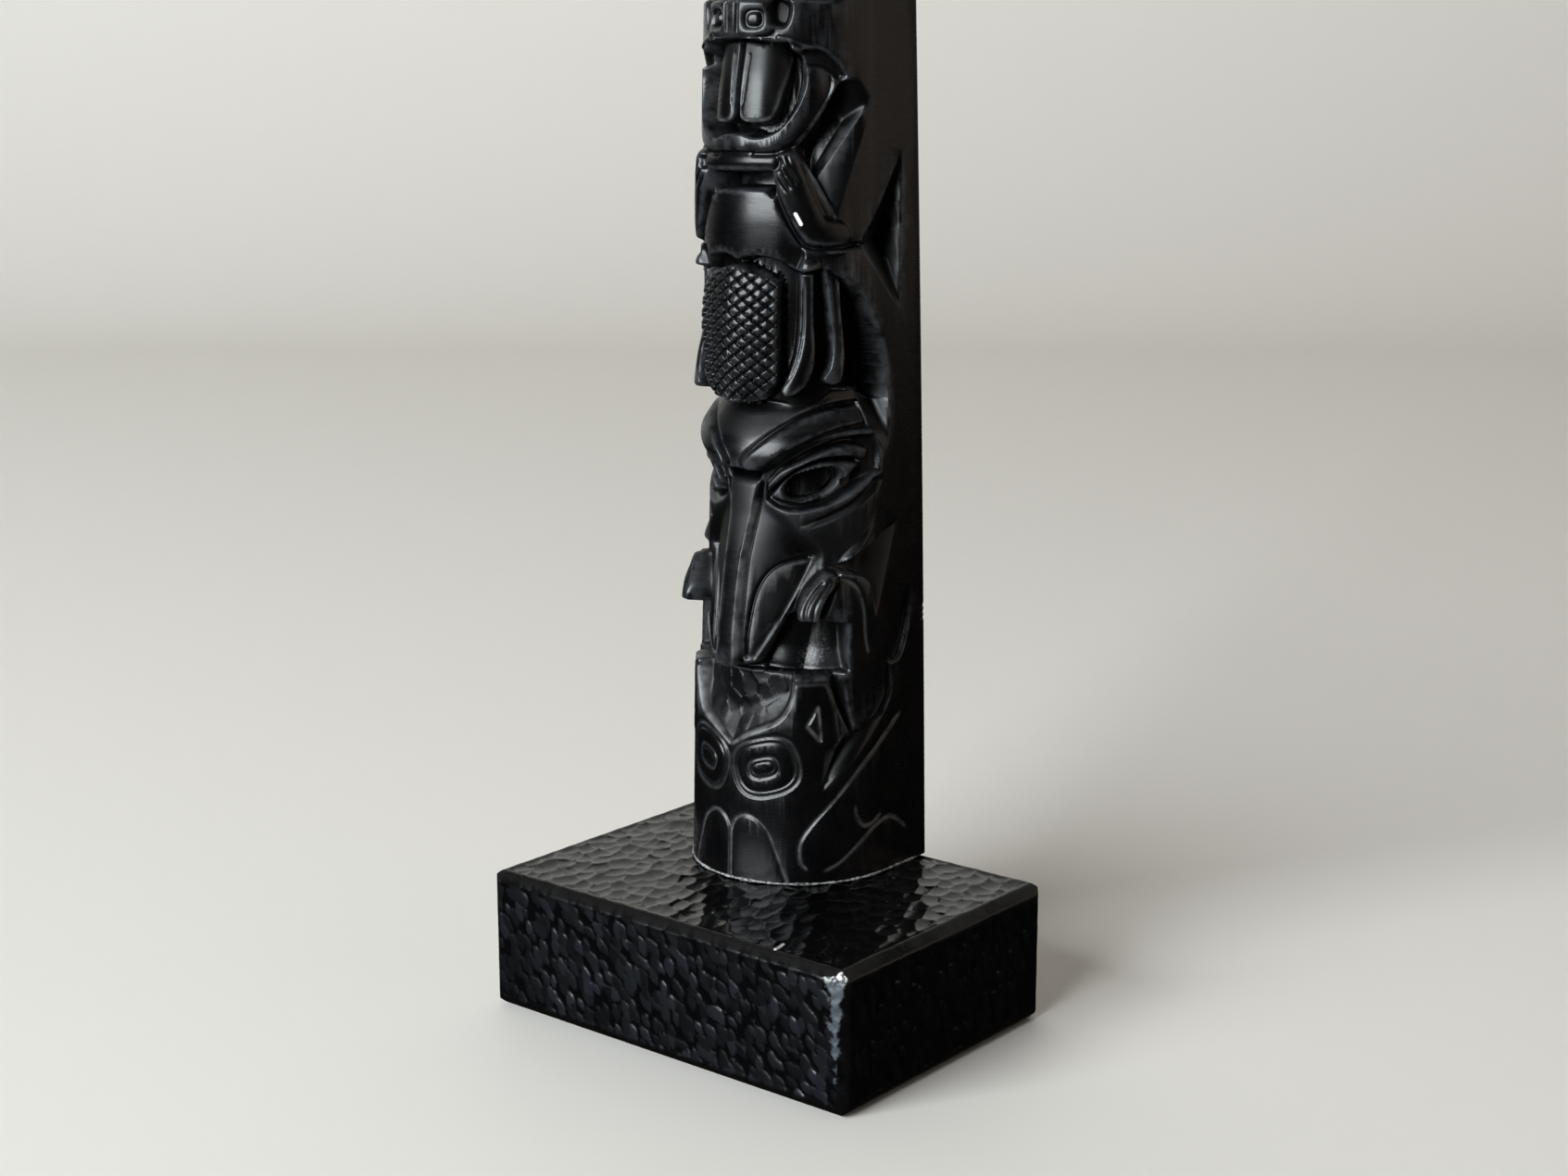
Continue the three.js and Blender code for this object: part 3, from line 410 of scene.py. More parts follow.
def carve_bird_eyes(sheet):
    brow = [(1.3, 78.6), (3.5, 80.9), (6.5, 83), (10, 84.6), (15, 85.6), (20.6, 85.8), (20.6, 82.9),
            (15, 82.5), (10, 81), (6, 78.9), (3.4, 77.3), (1.6, 77.3)]
    sheet.cut(brow, lambda s, z: 0.55 - 0.02 * s, wall=0.8, sharp=(5, 6), mode="add")
    sheet.scratch(brow, 0.5, 0.9, True, (5, 6), pale=0)
    sheet.wear_and_highlight([(1.0, 77.6), (1.1, 78.8), (3.3, 81.3), (6.4, 83.5), (10, 85.1), (15, 86.2)], 0.2, 0.35)
    socket = [(4.2, 73.2), (4.5, 75.4), (6.4, 77.3), (9, 79), (12, 80.3), (15, 81.2), (18, 81.6),
              (21.4, 81.6), (22.4, 79.5), (22.3, 77), (20, 75.4), (17.5, 74.1), (15, 72.9), (12.5, 72.1),
              (9, 71.7), (6, 72.2)]
    sheet.cut(socket, lambda s, z: -2.9 + 1.7 * ease(s, 18.5, 22), wall=0.6, sharp=(0, 7, 9), mode="lower")
    shelf = [(4.6, 74.3), (6.5, 75.8), (9, 77.3), (12, 78.5), (14, 78.9), (17, 78.9), (20.2, 78.4),
             (20.7, 79.9), (18, 80.5), (16, 80.4), (14, 80), (12, 79.4), (10, 78.6), (8, 77.9), (6.5, 77.2),
             (4.6, 75.5)]
    sheet.cut(shelf, lambda s, z: -1.2 + 0.03 * (s - 10), wall=0.4, sharp=(0, 6, 7, 15), mode="raise")
    lid = [(5, 73.8), (6.8, 75.5), (9, 76.8), (11, 77.7), (13, 78.2), (15, 78.3), (19.5, 78), (18, 76.9),
           (16.8, 75.9), (15.3, 74.9), (14, 74), (12, 73.2), (10, 72.8), (8, 73)]
    sheet.cut(lid, lambda s, z: -1.35 + 0.02 * s, wall=0.35, sharp=(0, 6), mode="raise")
    sheet.scratch([(4.6, 73.9), (6.6, 75.6), (9, 77.1), (11, 78), (13, 78.55), (15, 78.65), (19.8, 78.2)],
                  0.3, 0.7, pale=0)
    sheet.boss((11.8, 75.35), (4.85, 1.95), 12, -3.2, 2.3, wall=0.25)
    # A pale oval without a groove round the eye hole: a painted highlight on the rim of the lid.
    sheet.ring((11.8, 75.35), (5.05, 2.15), 12, 0.18, 0.0, 2.3, pale=0.28)
    sheet.valley([(22.5, 76.4), (20.5, 74.3), (17.5, 72.2), (14, 70.7), (10, 69.4)], (1.0, 0.5), 0.7, 0.12)
    sheet.scratch([(9.4, 69.5), (10.6, 69.5), (12.6, 70.3)], 0.22, 0.12, fade=0.3, pale=0.4)


def carve_bird_wings(sheet):
    hollow = [(3.9, 50.2), (8.3, 57.4), (10, 58), (12.4, 57), (16.9, 56.2), (17, 49.8), (12, 49.2), (4, 49.3)]
    sheet.cut(hollow, lambda s, z: (-4.2 + 0.36 * np.clip(s - 12.1 + 0.3 * (54 - z), 0, 6)
                                    + 0.35 * ease(z, 53, 50)),
              wall=0.3, sharp="all", mode="lower")
    sheet.cut([(0, 49.3), (8.9, 49.3), (6, 51.5), (2, 50.3), (0, 50.2)], -3.0, sharp="all", mode="lower",
              mirror=True)
    claw = [(9.7, 57.2), (12.6, 57.0), (12.9, 58.8), (13.6, 60.3), (14.8, 61.6), (15.1, 63.1), (13.5, 63.6),
            (11.9, 62.4), (10.5, 60.8), (9.7, 59)]
    sheet.cut(claw, lambda s, z: (profile(z - 0.35 * (s - 11), (57, 2.1), (59, 2.0), (61, 1.1), (63.4, 0.0))
                                  - 0.22 * (s - 11.3 - 0.5 * np.maximum(z - 58.5, 0)) ** 2),
              wall=0.45, sharp=(0, 1))
    for k in range(2):
        sheet.scratch([(10.6 + k, 56.9), (10.8 + k, 59.2), (11.8 + k, 61), (13.2 + 0.8 * k, 62.6)], 0.24,
                      0.4, fade=0.1, pale=0.1)
    sheet.scratch([(14, 63.9), (16.5, 63.9), (17.7, 63)], 0.26, 0.3, fade=0.2, pale=0.35)
    sheet.scratch([(14.8, 62.6), (16.5, 62.3), (18, 61.3), (19, 59.5), (19.5, 57.5), (19.8, 54),
                   (20.4, 51.8)], 0.26, 0.34, fade=0.06, pale=0.5)
    sheet.dust((12.6, 51.4), (3.4, 2.1), 25, 0.4)
    dart = [(14.8, 63.9), (20.5, 66.7), (25.9, 69.5), (25.6, 66), (23.2, 60.5), (21.8, 56.4), (20.3, 62)]
    sheet.cut(dart, lambda s, z: -np.clip(0.55 * (21.8 + (z - 56.4) / 3.2 - s), 0, 2.2), wall=0.3,
              sharp=(0, 2, 5))
    feather = [(29.3, 59.8), (26.6, 57), (24.8, 52.6), (24.1, 49.6), (27.2, 50), (29, 54.5)]
    sheet.cut(feather, lambda s, z: -0.9 * ease(s - 24 - 0.45 * (z - 49.6), -0.5, 3), wall=0.3, sharp=(0, 3))
    sheet.cut([(24.6, 49.8), (22.6, 44.5), (22, 42.5), (23.4, 43), (25.2, 46)], -0.8, wall=0.6, sharp=(0, 2))
    for z in (54.5, 55.3, 56.3):
        sheet.scratch([(32.4, z), (34.5, z + 0.2)], 0.25, 0.3, pale=0.2)


carve_bird_head(sheet)
carve_bird_eyes(sheet)
carve_bird_wings(sheet)
print("the beak stands out by", round(float(beak_front(54)), 1), "mm")

# %% [markdown]
# ## The beaver's body
#
# The top figure is a beaver that gnaws a stick. Its flat tail hangs down in front and is cross-hatched:
# two sets of parallel V grooves leave small diamonds. They are cut last of all, once the rest is rubbed
# round. The knees are drawn up beside the tail, the elbows rest on them, and both hands hold the stick
# under the chin.

# %% Carve the beaver's body
HATCH = dict(apart=1.28, half=0.17, depth=0.4, slope=39, middle=97, margin=0.6, border=(0.5, 0.25))


def hatch(sheet, outline):
    """Cross-hatch the inside of an outline."""
    w, distance, _ = sheet.near(mirrored(outline), HATCH["margin"], True)
    s, z = sheet.s[w], sheet.z[w]
    inside = ease(distance, *HATCH["border"])
    slope = math.radians(HATCH["slope"])
    for way in (-1, 1):
        across = (z - HATCH["middle"]) * math.cos(slope) + way * s * math.sin(slope)
        from_line = np.abs((across / HATCH["apart"] + 0.5) % 1 - 0.5) * HATCH["apart"]
        sheet.incise(w, from_line, HATCH["half"], HATCH["depth"], inside, 0)


def carve_legs(sheet):
    hollow = [(0, 86.6), (6.4, 86.4), (9.5, 85.6), (13, 86.6), (16, 88.3), (20, 87.8), (23.9, 86.2),
              (23.6, 90.5), (22, 95), (19.2, 99.6), (16, 102.2), (14.4, 103), (13, 104), (9.4, 103.8),
              (6, 105.5), (0, 106.2)]
    sheet.cut(hollow, lambda s, z: -3.0 - 0.35 * np.clip(s - 15.8, 0, 7), wall=0.3, sharp=(6, 15),
              mirror=True)
    calf = [(12.5, 104.8), (13, 102), (13.6, 98), (14, 94), (13.6, 91.2), (12.6, 89.6), (14, 88.8),
            (15.4, 89.2), (16, 92), (15.9, 95), (15.5, 98.5), (15.2, 102.4)]
    sheet.cut(calf, -0.4, mode="raise", wall=0.3, sharp=(11,))
    sheet.wear_and_highlight([(15.2, 101.8), (15.5, 98.5), (15.8, 95), (15.9, 92), (15.3, 89.6)], 0.22, 0.4)
    shin = [(9.3, 103.6), (9.3, 97), (8.7, 93), (7.6, 90), (6.8, 88.3), (7.4, 87.5), (8.7, 87.7),
            (10.2, 88.8), (11.4, 91), (11.7, 94), (11.6, 97), (11.5, 103.6)]
    shin_front = (87, 1.1), (89, 1.0), (92, 0.4), (95, -0.4), (98, -0.55), (104, -0.6)
    sheet.cut(shin, lambda s, z: profile(z, *shin_front) - 0.14 * (s - 10.6 + 2.4 * ease(z, 95.5, 88)) ** 2,
              wall=0.4, sharp=(0, 4, 11), mode="raise")
    sheet.scratch([(9.9, 102.8), (9.9, 97), (9.4, 93.5), (8.4, 90.6), (7.3, 88.9)], 0.2, 0.3, fade=0.1,
                  pale=0)
    sheet.boss((10.6, 104.3), (1.4, 1.3), 0, 0.7, 2.4)
    recess = [(17.3, 107), (21.5, 112.2), (26, 119.4), (26, 98.3), (22, 102.5)]
    sheet.cut(recess, lambda s, z: -np.clip(0.55 * np.minimum(0.82 * (s - 17.3) - 0.58 * (z - 107),
                                                              0.71 * (s - 17.3) + 0.71 * (z - 107)), 0, 3.6),
              wall=0.4, sharp=(0, 2, 3))
    sheet.wear_and_highlight([(17.3, 107.6), (19.5, 110.6), (22, 113.7), (26, 119)], 0.4, 0.22)
    sheet.wear_and_highlight([(18, 106.7), (21, 104), (24, 101), (26, 98.9)], 0.4, 0.2)


def carve_tail(sheet):
    tail = [(0, 86.2), (2.5, 86.5), (4.4, 87.1), (6.5, 89.4), (6.55, 95), (6.6, 102.6), (3.6, 103.8),
            (0, 104.8)]
    tail_front = (85, 0.2), (88.5, 1.3), (97, 1.9), (102, 1.4), (106, 0.5)
    sheet.cut(tail, lambda s, z: profile(z, *tail_front, bend=2.5) - 0.15 * np.hypot(s, 0.5), wall=0.2,
              sharp=(3, 5, 7), mirror=True)
    return tail


def carve_arms(sheet):
    chest = [(0, 105.2), (2, 105.8), (3.6, 106), (6, 105.4), (9, 103.8), (9.8, 106.3), (7.9, 109.8),
             (6, 112.8), (4.6, 114.6), (0, 114.8)]
    sheet.cut(chest, lambda s, z: (profile(z, (103, -0.4), (107, -0.1), (112, 0), (114.8, -0.6), bend=2)
                                   - 0.7 * ease(np.abs(s), 5.5, 9) * ease(z, 109, 104)),
              wall=0.4, sharp=(0, 4, 8), mirror=True)
    sheet.cut([(0, 114.7), (4.5, 114.5), (5.6, 113.6), (5.6, 117), (0, 117)], -4.2, wall=0.3, sharp="all",
              mirror=True, mode="lower")
    armpit = [(8.7, 119.8), (11.2, 116.4), (13.9, 111.4), (16.5, 118), (19.6, 125), (18.5, 128),
              (14.7, 128.2), (12.4, 124.6), (10.4, 121.8)]
    sheet.cut(armpit, lambda s, z: ((-np.clip(0.42 * (14 + 0.42 * (z - 111.4) - s), 0, 2.4)
                                     - 1.8 * ease(z - 1.28 * s, 101, 102)) * ease(z + s, 146, 139)),
              wall=0.3, sharp=(0, 2, 4), mode="lower")
    sheet.scratch([(11.7, 116.9), (13, 118.3), (15, 120.6), (16.5, 122.8)], 0.2, 0.1, fade=0.15, pale=0.3)
    sheet.ridge([(13.9, 108.3), (11.0, 109.4), (9.1, 113), (7.4, 117.6)], (2.2, 1.9), (0.3, 0.6),
                wall=0.7, bulge=(0.3, 0.7), mode="set")
    sheet.scratch([(17.6, 107.3), (14, 106.9), (12, 106.9), (9.8, 107.4), (7.2, 111.2), (4.9, 116.6)], 0.55,
                  0.9, pale=0)
    sheet.scratch([(9.6, 118.2), (11.6, 114.3), (13.8, 110.9)], 0.26, 0.35, pale=0.3)
    for k in range(4):
        top, end = (5.2 + 0.75 * k, 118.6 + 0.2 * k), (7.6 + 0.6 * k, 114.0 + 0.5 * k)
        knuckle = (top[0] + end[0]) / 2 - 0.2, (top[1] + end[1]) / 2
        sheet.scratch([top, knuckle, end], 0.18, 0.26, fade=0.12, pale=0)
    sheet.ridge([(-1, 118), (5.6, 118)], (1.25, 1.25), (0.1, 0.1), wall=0.4, bulge=(0.5, 0.5), mode="set")


carve_legs(sheet)
tail_outline = carve_tail(sheet)
carve_arms(sheet)
print("diamonds on the tail are", HATCH["apart"], "mm apart")

# %% [markdown]
# ## The beaver's head
#
# The mouth is a round opening inside a flat lip, with two long incisors in it. The nose has two ringed
# nostrils, and its bridge runs back between the eyes. The eyes, brows and the rim of the crown are
# carved in the same manner as the figures below, but plainer.

# %% Carve the beaver's head
def carve_mouth(sheet):
    lip = [(0, 119.5), (4, 119.5), (6, 119.7), (7.5, 120.4), (9, 121.7), (10.5, 123.4), (12, 125.4),
           (12.9, 126.8), (13.2, 128.3), (12.6, 129.8), (11, 131.1), (8, 132.6), (5, 133.6), (0, 134.2)]
    sheet.cut(lip, lambda s, z: 0.9 - 0.008 * s ** 2, wall=0.4, sharp=(12,), mirror=True)
    mouth = [(0, 121.8), (1.5, 121.7), (3, 121.3), (4.6, 121.5), (6.2, 122.3), (7.3, 123.5), (8.4, 125.1),
             (9.1, 126.7), (9.5, 128.4), (9.4, 130), (9, 131.4), (7, 132.6), (5, 133.3), (0, 133.8)]
    sheet.cut(mouth, -4.2, wall=0.25, mirror=True)
    sheet.cut([(8.6, 131.8), (9.4, 130.4), (12.4, 129.9), (14.2, 128.4), (15, 129), (13.4, 131),
               (11, 132.3)], -1.5, wall=0.6, mode="lower")
    tooth = [(0.3, 133.6), (0.3, 124.2), (0.9, 123.2), (2.4, 122.9), (5, 123.3), (5.9, 124.6), (6.6, 127),
             (7.3, 129.2), (7.9, 131.4), (7.2, 133.2)]
    sheet.cut(tooth, lambda s, z: profile(z, (122, 0.2), (128, -0.3), (134, -1.5), bend=2.5)
              - 0.08 * np.maximum(s - 2.4, 0) ** 2, wall=0.3, sharp=(0, 9))
    sheet.scratch([(7.6, 131.2), (7, 129.3), (6.3, 127.1), (5.6, 124.9), (4.8, 123.7), (2.5, 123.3),
                   (1.1, 123.6), (0.7, 124.6), (1.1, 131.8)], 0.18, 0.12, pale=0.5)
    sheet.scratch([(0.9, 125.5), (1.4, 131.8)], 0.16, 0.35, pale=0)
    sheet.ridge([(6, 133.9), (8.5, 133.2), (11, 131.9), (12.8, 130.7), (14.4, 129)], (0.3, 0.3), (0.3, 0.3),
                wall=0.3)
    sheet.scratch([(14.8, 128), (12.9, 125.3), (10.9, 122.7), (8.8, 120.5), (6.2, 119.2), (3, 119)], 0.26,
                  0.4, pale=0)
    sheet.ridge([(15.2, 128.2), (13.2, 125.3), (11, 122.3), (9, 120.1), (6.4, 118.8)], (0.18, 0.18),
                (0.15, 0.15), wall=0.25)


def carve_nose(sheet):
    nose = [(0, 134.3), (4.9, 134.6), (5.3, 137.6), (3.6, 139), (0, 139.2)]
    sheet.cut(nose, lambda s, z: 1.3 - 0.03 * s ** 2, mirror=True)
    sheet.boss((2.9, 136.4), (1.35, 1.35), 0, -0.55, 3.0, wall=0.3)
    sheet.boss((2.9, 136.3), (0.8, 0.75), 0, 0.35, 2.4, wall=0.3)
    # A pale ring without a groove round each nostril: a painted highlight.
    sheet.ring((2.9, 136.4), (1.55, 1.5), 0, 0.16, 0.0, 3.0, pale=0.5)
    sheet.scratch([(0.75, 134.7), (0.8, 138.4)], 0.3, 0.4, pale=0.1)
    sheet.cut([(4.9, 136), (6.8, 135.4), (7.4, 138), (5.2, 138.8)], -2.2, wall=0.8, mode="lower")
    bridge = [(0, 139), (4.6, 138.8), (7.5, 139), (14.6, 139.2), (17.6, 144), (15.6, 149.4), (9, 151),
              (3.4, 149.6), (0, 149.6)]
    sheet.cut(bridge, lambda s, z: -1.5 + ease(np.abs(s), 4.2, 0.6)
              - 0.7 * ease(np.abs(s), 4.5, 7) * ease(np.abs(s), 17, 13), wall=1.0, mirror=True)


def carve_beaver_eyes(sheet):
    lid = [(5.6, 143.2), (8.2, 147), (12.5, 147.8), (15.9, 145), (12.4, 141), (8, 140.6)]
    sheet.cut(lid, -0.9, wall=0.6, sharp=(0, 3))
    sheet.scratch(lid, closed=True, sharp=(0, 3), pale=0.3)
    sheet.boss((10.7, 144.3), (3.0, 2.5), 10, 0.5, 2.4)
    sheet.ring((10.7, 144.3), (3.0, 2.5), 10, power=2.4, pale=0.3)
    sheet.ridge([(2.2, 149.4), (6, 151.6), (11, 152.3), (16, 150.6), (19.2, 146.6)], (1.2, 1.3), (0.5, 0.5),
                bulge=(0.3, 0.3))
    sheet.scratch([(1.4, 151), (6, 153.4), (11, 154.1), (16.6, 152.3), (20.6, 147.6)], pale=0.25)


carve_mouth(sheet)
carve_nose(sheet)
carve_beaver_eyes(sheet)
print("deepest cut in mm:", round(float(sheet.height.min()), 2))

# %% [markdown]
# ## Rubbing the carving down
#
# A finished carving is rubbed, which rounds its edges by about a tenth of a millimetre. Rubbing also
# decides the colours: edges that stand proud wear pale. They are read off the sheet by comparing each
# place with the average of the places around it. The tail is hatched between the two, so its diamonds
# stay crisp and their tops wear pale.

# %% Round the edges, hatch the tail and find the worn places
ROUNDING = 0.1
WEAR = dict(around=0.4, least=0.05, full=0.16)
sheet.height = sheet.blurred(sheet.height, ROUNDING)
hatch(sheet, tail_outline)
proud = sheet.height - sheet.blurred(sheet.height, WEAR["around"])
worn = np.clip((proud - WEAR["least"]) / WEAR["full"], 0, 1)
pale = sheet.blurred(sheet.pale, ROUNDING)
print("share of worn places:", round(float((worn > 0.5).mean()), 3))

# %% [markdown]
# ## Chisel marks
#
# Every chisel cut leaves a small facet, flat or hollow, with a crisp border to the next one. Points
# scattered over a grid, one in each cell, give such facets: each place belongs to its nearest point. The
# same function serves the dimples on the plinth and the fainter tool marks on the pole.

# %% Facets around scattered points
CELL_MARGIN, CELL_SPREAD = 0.1, 0.8
FAR_AWAY = 9.0


def chances(i, j, seed):
    """Three numbers between 0 and 1 for each cell of a grid, always the same ones."""
    base = np.sin(i * 127.1 + j * 311.7 + seed * 74.7) * 43758.5453
    return [(base * factor) % 1 for factor in (1.0, 1.37, 1.93)]


def scattered(u, v, seed):
    """For the nine cells round a place, the way there from each cell's point, and its three chances."""
    for i in (-1, 0, 1):
        for j in (-1, 0, 1):
            cell_u, cell_v = np.floor(u) + i, np.floor(v) + j
            a, b, c = chances(cell_u, cell_v, seed)
            from_u = u - cell_u - CELL_MARGIN - CELL_SPREAD * a
            from_v = v - cell_v - CELL_MARGIN - CELL_SPREAD * b
            yield from_u, from_v, a, b, c


def chiselled(x, y, width, length, tilt, seed, hollow, slant):
    """Height and chance of the facet at each place. It is hollow and slants its own way by given depths."""
    c, q = math.cos(math.radians(tilt)), math.sin(math.radians(tilt))
    u, v = (c * x + q * y) / width, (c * y - q * x) / length
    nearest = np.full(u.shape, FAR_AWAY)
    chance, du, dv = np.zeros((3, *u.shape))
    for from_u, from_v, _, _, lot in scattered(u, v, seed):
        distance = np.hypot(from_u, from_v)
        closer = distance < nearest
        news = (distance, nearest), (lot, chance), (from_u, du), (from_v, dv)
        nearest, chance, du, dv = (np.where(closer, new, old) for new, old in news)
    turn = 2 * math.pi * chance
    return hollow * (nearest ** 2 - 0.5) + slant * (du * np.cos(turn) + dv * np.sin(turn)), chance


print("chances of cell 0, 0:", [round(float(v), 3) for v in chances(0.0, 0.0, 1)])

# %% [markdown]
# ## Wrapping the sheet round the log
#
# The fine mesh is a grid wrapped round the log: rows a fifth of a millimetre apart and half that on the
# tail, and columns that crowd together on the carved front and spread out on the plain back. Each point
# moves outwards by the carving's height. Its foot and crown are closed with one face each. No hand is
# exact, so both halves take their carving from a place on the sheet that slips a little.

# %% Wrap the carving
ROW_STEP, FINE_STEP, FINE_FROM, FINE_TO = 0.2, 0.11, 86.0, 105.5
COLUMNS = {"arc": 175, "side": 44, "corner": 5, "back": 22}
CROWDING = 1.2
SLIP = 0.12
RUBBED = dict(width=3.2, length=7, tilt=8, seed=3, hollow=0.008, slant=0)
CHOPPED = dict(width=2.4, length=3, tilt=30, seed=5, hollow=0.12, slant=0.12)
BACK_MARKS = dict(width=5, length=16, tilt=2, seed=9, hollow=0.05, slant=0.06)
BACK_SINK = 0.08
BOWL_DEPTH, BOWL_TOP, BOWL_FOOT = (-0.6, -1.2), (49.6, 49), (36, 38)


def wobble(a, b):
    """A slow hand-made unevenness between -1 and 1."""
    return np.sin(1.3 * a + 2 * np.sin(0.7 * b)) * np.cos(0.9 * b + 1.7 * np.sin(0.5 * a))


def slipped(s, z):
    """The place on the sheet that a place on the log takes its carving from."""
    return s + SLIP * wobble(z / 6, s / 7), z + SLIP * wobble(s / 5, z / 8 + 3)


def carved_height(s, z):
    """The carving and the tool marks over the log at signed places round it."""
    height = sheet.at(sheet.height, *slipped(s, z))
    bowl = ease(height, *BOWL_DEPTH) * ease(z, *BOWL_TOP) * ease(z, *BOWL_FOOT)
    rubbed, _ = chiselled(s, z, **RUBBED)
    chopped, _ = chiselled(s, z, **CHOPPED)
    return height + rubbed * (1 - bowl) + chopped * bowl


def wrapped_column(name, k, z):
    """Place, outward direction and s of a column on the right half."""
    r, back = log_radius(z), log_back(z)
    flat = back - CENTRE_Y - CORNER
    quarter, one = math.pi / 2, np.ones_like(z)
    if name == "arc":
        a = quarter * (k / COLUMNS["arc"]) ** CROWDING
        return r * math.sin(a), CENTRE_Y - r * math.cos(a), math.sin(a) * one, -math.cos(a) * one, r * a
    if name == "side":
        run = flat * k / COLUMNS["side"]
        return r, CENTRE_Y + run, one, 0 * one, r * quarter + run
    if name == "corner":
        a = quarter * k / COLUMNS["corner"]
        c, q = math.cos(a), math.sin(a)
        s = r * quarter + flat + CORNER * a
        return r - CORNER * (1 - c), back - CORNER * (1 - q), c * one, q * one, s
    return (r - CORNER) * (1 - k / COLUMNS["back"]), back, 0 * one, one, r * quarter + flat + CORNER * (1 + k)


def wrapped_log():
    """Points of the wrapped sheet, as rows of columns, in millimetres."""
    spans = (FOOT, FINE_FROM, ROW_STEP), (FINE_FROM, FINE_TO, FINE_STEP), (FINE_TO, CROWN, ROW_STEP)
    z = [np.linspace(low, high, round((high - low) / step) + 1) for low, high, step in spans]
    z = np.unique(np.concatenate(z))
    over = np.clip(z - (CROWN - CROWN_ROUND), 0, None)
    rim = CROWN_ROUND - np.sqrt(np.clip(CROWN_ROUND ** 2 - over ** 2, 0, None))
    half = [(name, k) for name, count in COLUMNS.items() for k in range(count)] + [("back", COLUMNS["back"])]
    turns = [(1, *c) for c in half] + [(-1, *c) for c in half[-2:0:-1]]
    rows = np.zeros((len(z), len(turns), 3))
    for i, (side, name, k) in enumerate(turns):
        x, y, out_x, out_y, s = wrapped_column(name, k, z)
        if name == "back":
            height, _ = chiselled(side * x, z, **BACK_MARKS)
            height = height - BACK_SINK
        else:
            fade = 1 - k / COLUMNS["corner"] if name == "corner" else 1
            height = carved_height(side * np.minimum(s, LAST_PLACE), z) * fade
        height = height - rim
        rows[:, i] = np.stack([CENTRE_X + side * (x + out_x * height), y + out_y * height, z], -1)
    return rows


def mesh_object(name, points, faces):
    """A mesh object from points in millimetres."""
    mesh = bpy.data.meshes.new(name)
    mesh.from_pydata((np.asarray(points) * MM).tolist(), [], faces)
    mesh.validate()
    made = bpy.data.objects.new(name, mesh)
    bpy.context.collection.objects.link(made)
    return made


def tube_faces(rows, columns):
    """Quads of rows of closed rings, with their first and last ring closed."""
    index = np.arange(rows * columns).reshape(rows, columns)
    here, right = index, np.roll(index, -1, 1)
    quads = np.stack([here[:-1], right[:-1], right[1:], here[1:]], -1).reshape(-1, 4)
    return quads.tolist() + [index[0, ::-1].tolist(), index[-1].tolist()]


rows = wrapped_log()
carved_pole = mesh_object("carved_pole", rows.reshape(-1, 3), tube_faces(*rows.shape[:2]))
print("the wrapped sheet has", len(carved_pole.data.polygons), "faces")

# %% [markdown]
# ## The ears
#
# The beaver's ears are what is left of the log above its crown. Each is an upright rounded slab, cut
# round like the log in front and hollowed by a dish. They are made as solids of their own and joined to
# the pole by a boolean, because the real pole is one piece of stone.

# %% Shape the ears and join them on
EAR = dict(height=5.8, width=9.4, apart=15, back=9.5, sink=6, hollow=1.4, dish=0.27, inset=0.1, tip=0.01)


def ear(side, levels=40, across=36):
    """A stack of rings, each as wide as the ear's outline is at its height, with a rounded, dished front."""
    radius, middle = EAR["width"] / 2, side * EAR["apart"] / 2
    shoulder = CROWN + EAR["height"] - radius
    rings = []
    for step in np.sin(np.linspace(0, math.pi / 2, levels)):
        z = CROWN - EAR["sink"] + (EAR["sink"] + EAR["height"]) * step
        over = max(z - shoulder, 0)
        half = math.sqrt(max(radius ** 2 - over ** 2, EAR["tip"] ** 2))
        x = np.linspace(-half, half, across) + middle
        front = CENTRE_Y - np.sqrt(np.maximum((log_radius(z) - EAR["inset"]) ** 2 - x ** 2, 0))
        dish = ((x - middle) ** 2 + (z - shoulder) ** 2) / (EAR["dish"] * EAR["width"]) ** 2
        front = front + EAR["hollow"] * np.sqrt(np.clip(1 - dish, 0, None))
        soft = 0.5 * (1 - np.sqrt(np.clip(1 - ((x - middle) / radius) ** 2, 0, 1)))
        row = [(px, py + dy, z) for px, py, dy in zip(x, front, soft)]
        row += [(px, EAR["back"], z) for px in x[::-1]]
        rings.append(np.array(row) + (CENTRE_X, 0, 0))
    rings = np.array(rings)
    return mesh_object("ear", rings.reshape(-1, 3), tube_faces(*rings.shape[:2]))


def apply_modifier(piece, kind, **settings):
    modifier = piece.modifiers.new(kind.lower(), kind)
    for name, value in settings.items():
        setattr(modifier, name, value)
    bpy.context.view_layer.objects.active = piece
    bpy.ops.object.modifier_apply(modifier=modifier.name)


for side in (-1, 1):
    one_ear = ear(side)
    apply_modifier(carved_pole, "BOOLEAN", object=one_ear, operation="UNION", solver="MANIFOLD")
    bpy.data.objects.remove(one_ear)
print("with its ears the pole has", len(carved_pole.data.polygons), "faces")

# %% [markdown]
# ## Fewer faces where nothing happens
#
# Most of the grid lies on smooth stone and says nothing. The Decimate modifier merges the corners whose
# loss shows least, and keeps the scratched lines and the diamonds as dense as they were.

# %% Thin the mesh
POLE_TRIANGLES = 190000
SHARP_ANGLE = 75
carved_pole.data.materials.clear()
triangles = sum(len(face.vertices) - 2 for face in carved_pole.data.polygons)
apply_modifier(carved_pole, "DECIMATE", ratio=POLE_TRIANGLES / triangles)
carved_pole.data.shade_smooth()
carved_pole.data.set_sharp_from_angle(angle=math.radians(SHARP_ANGLE))
print("thinned from", triangles, "to", len(carved_pole.data.polygons), "triangles")
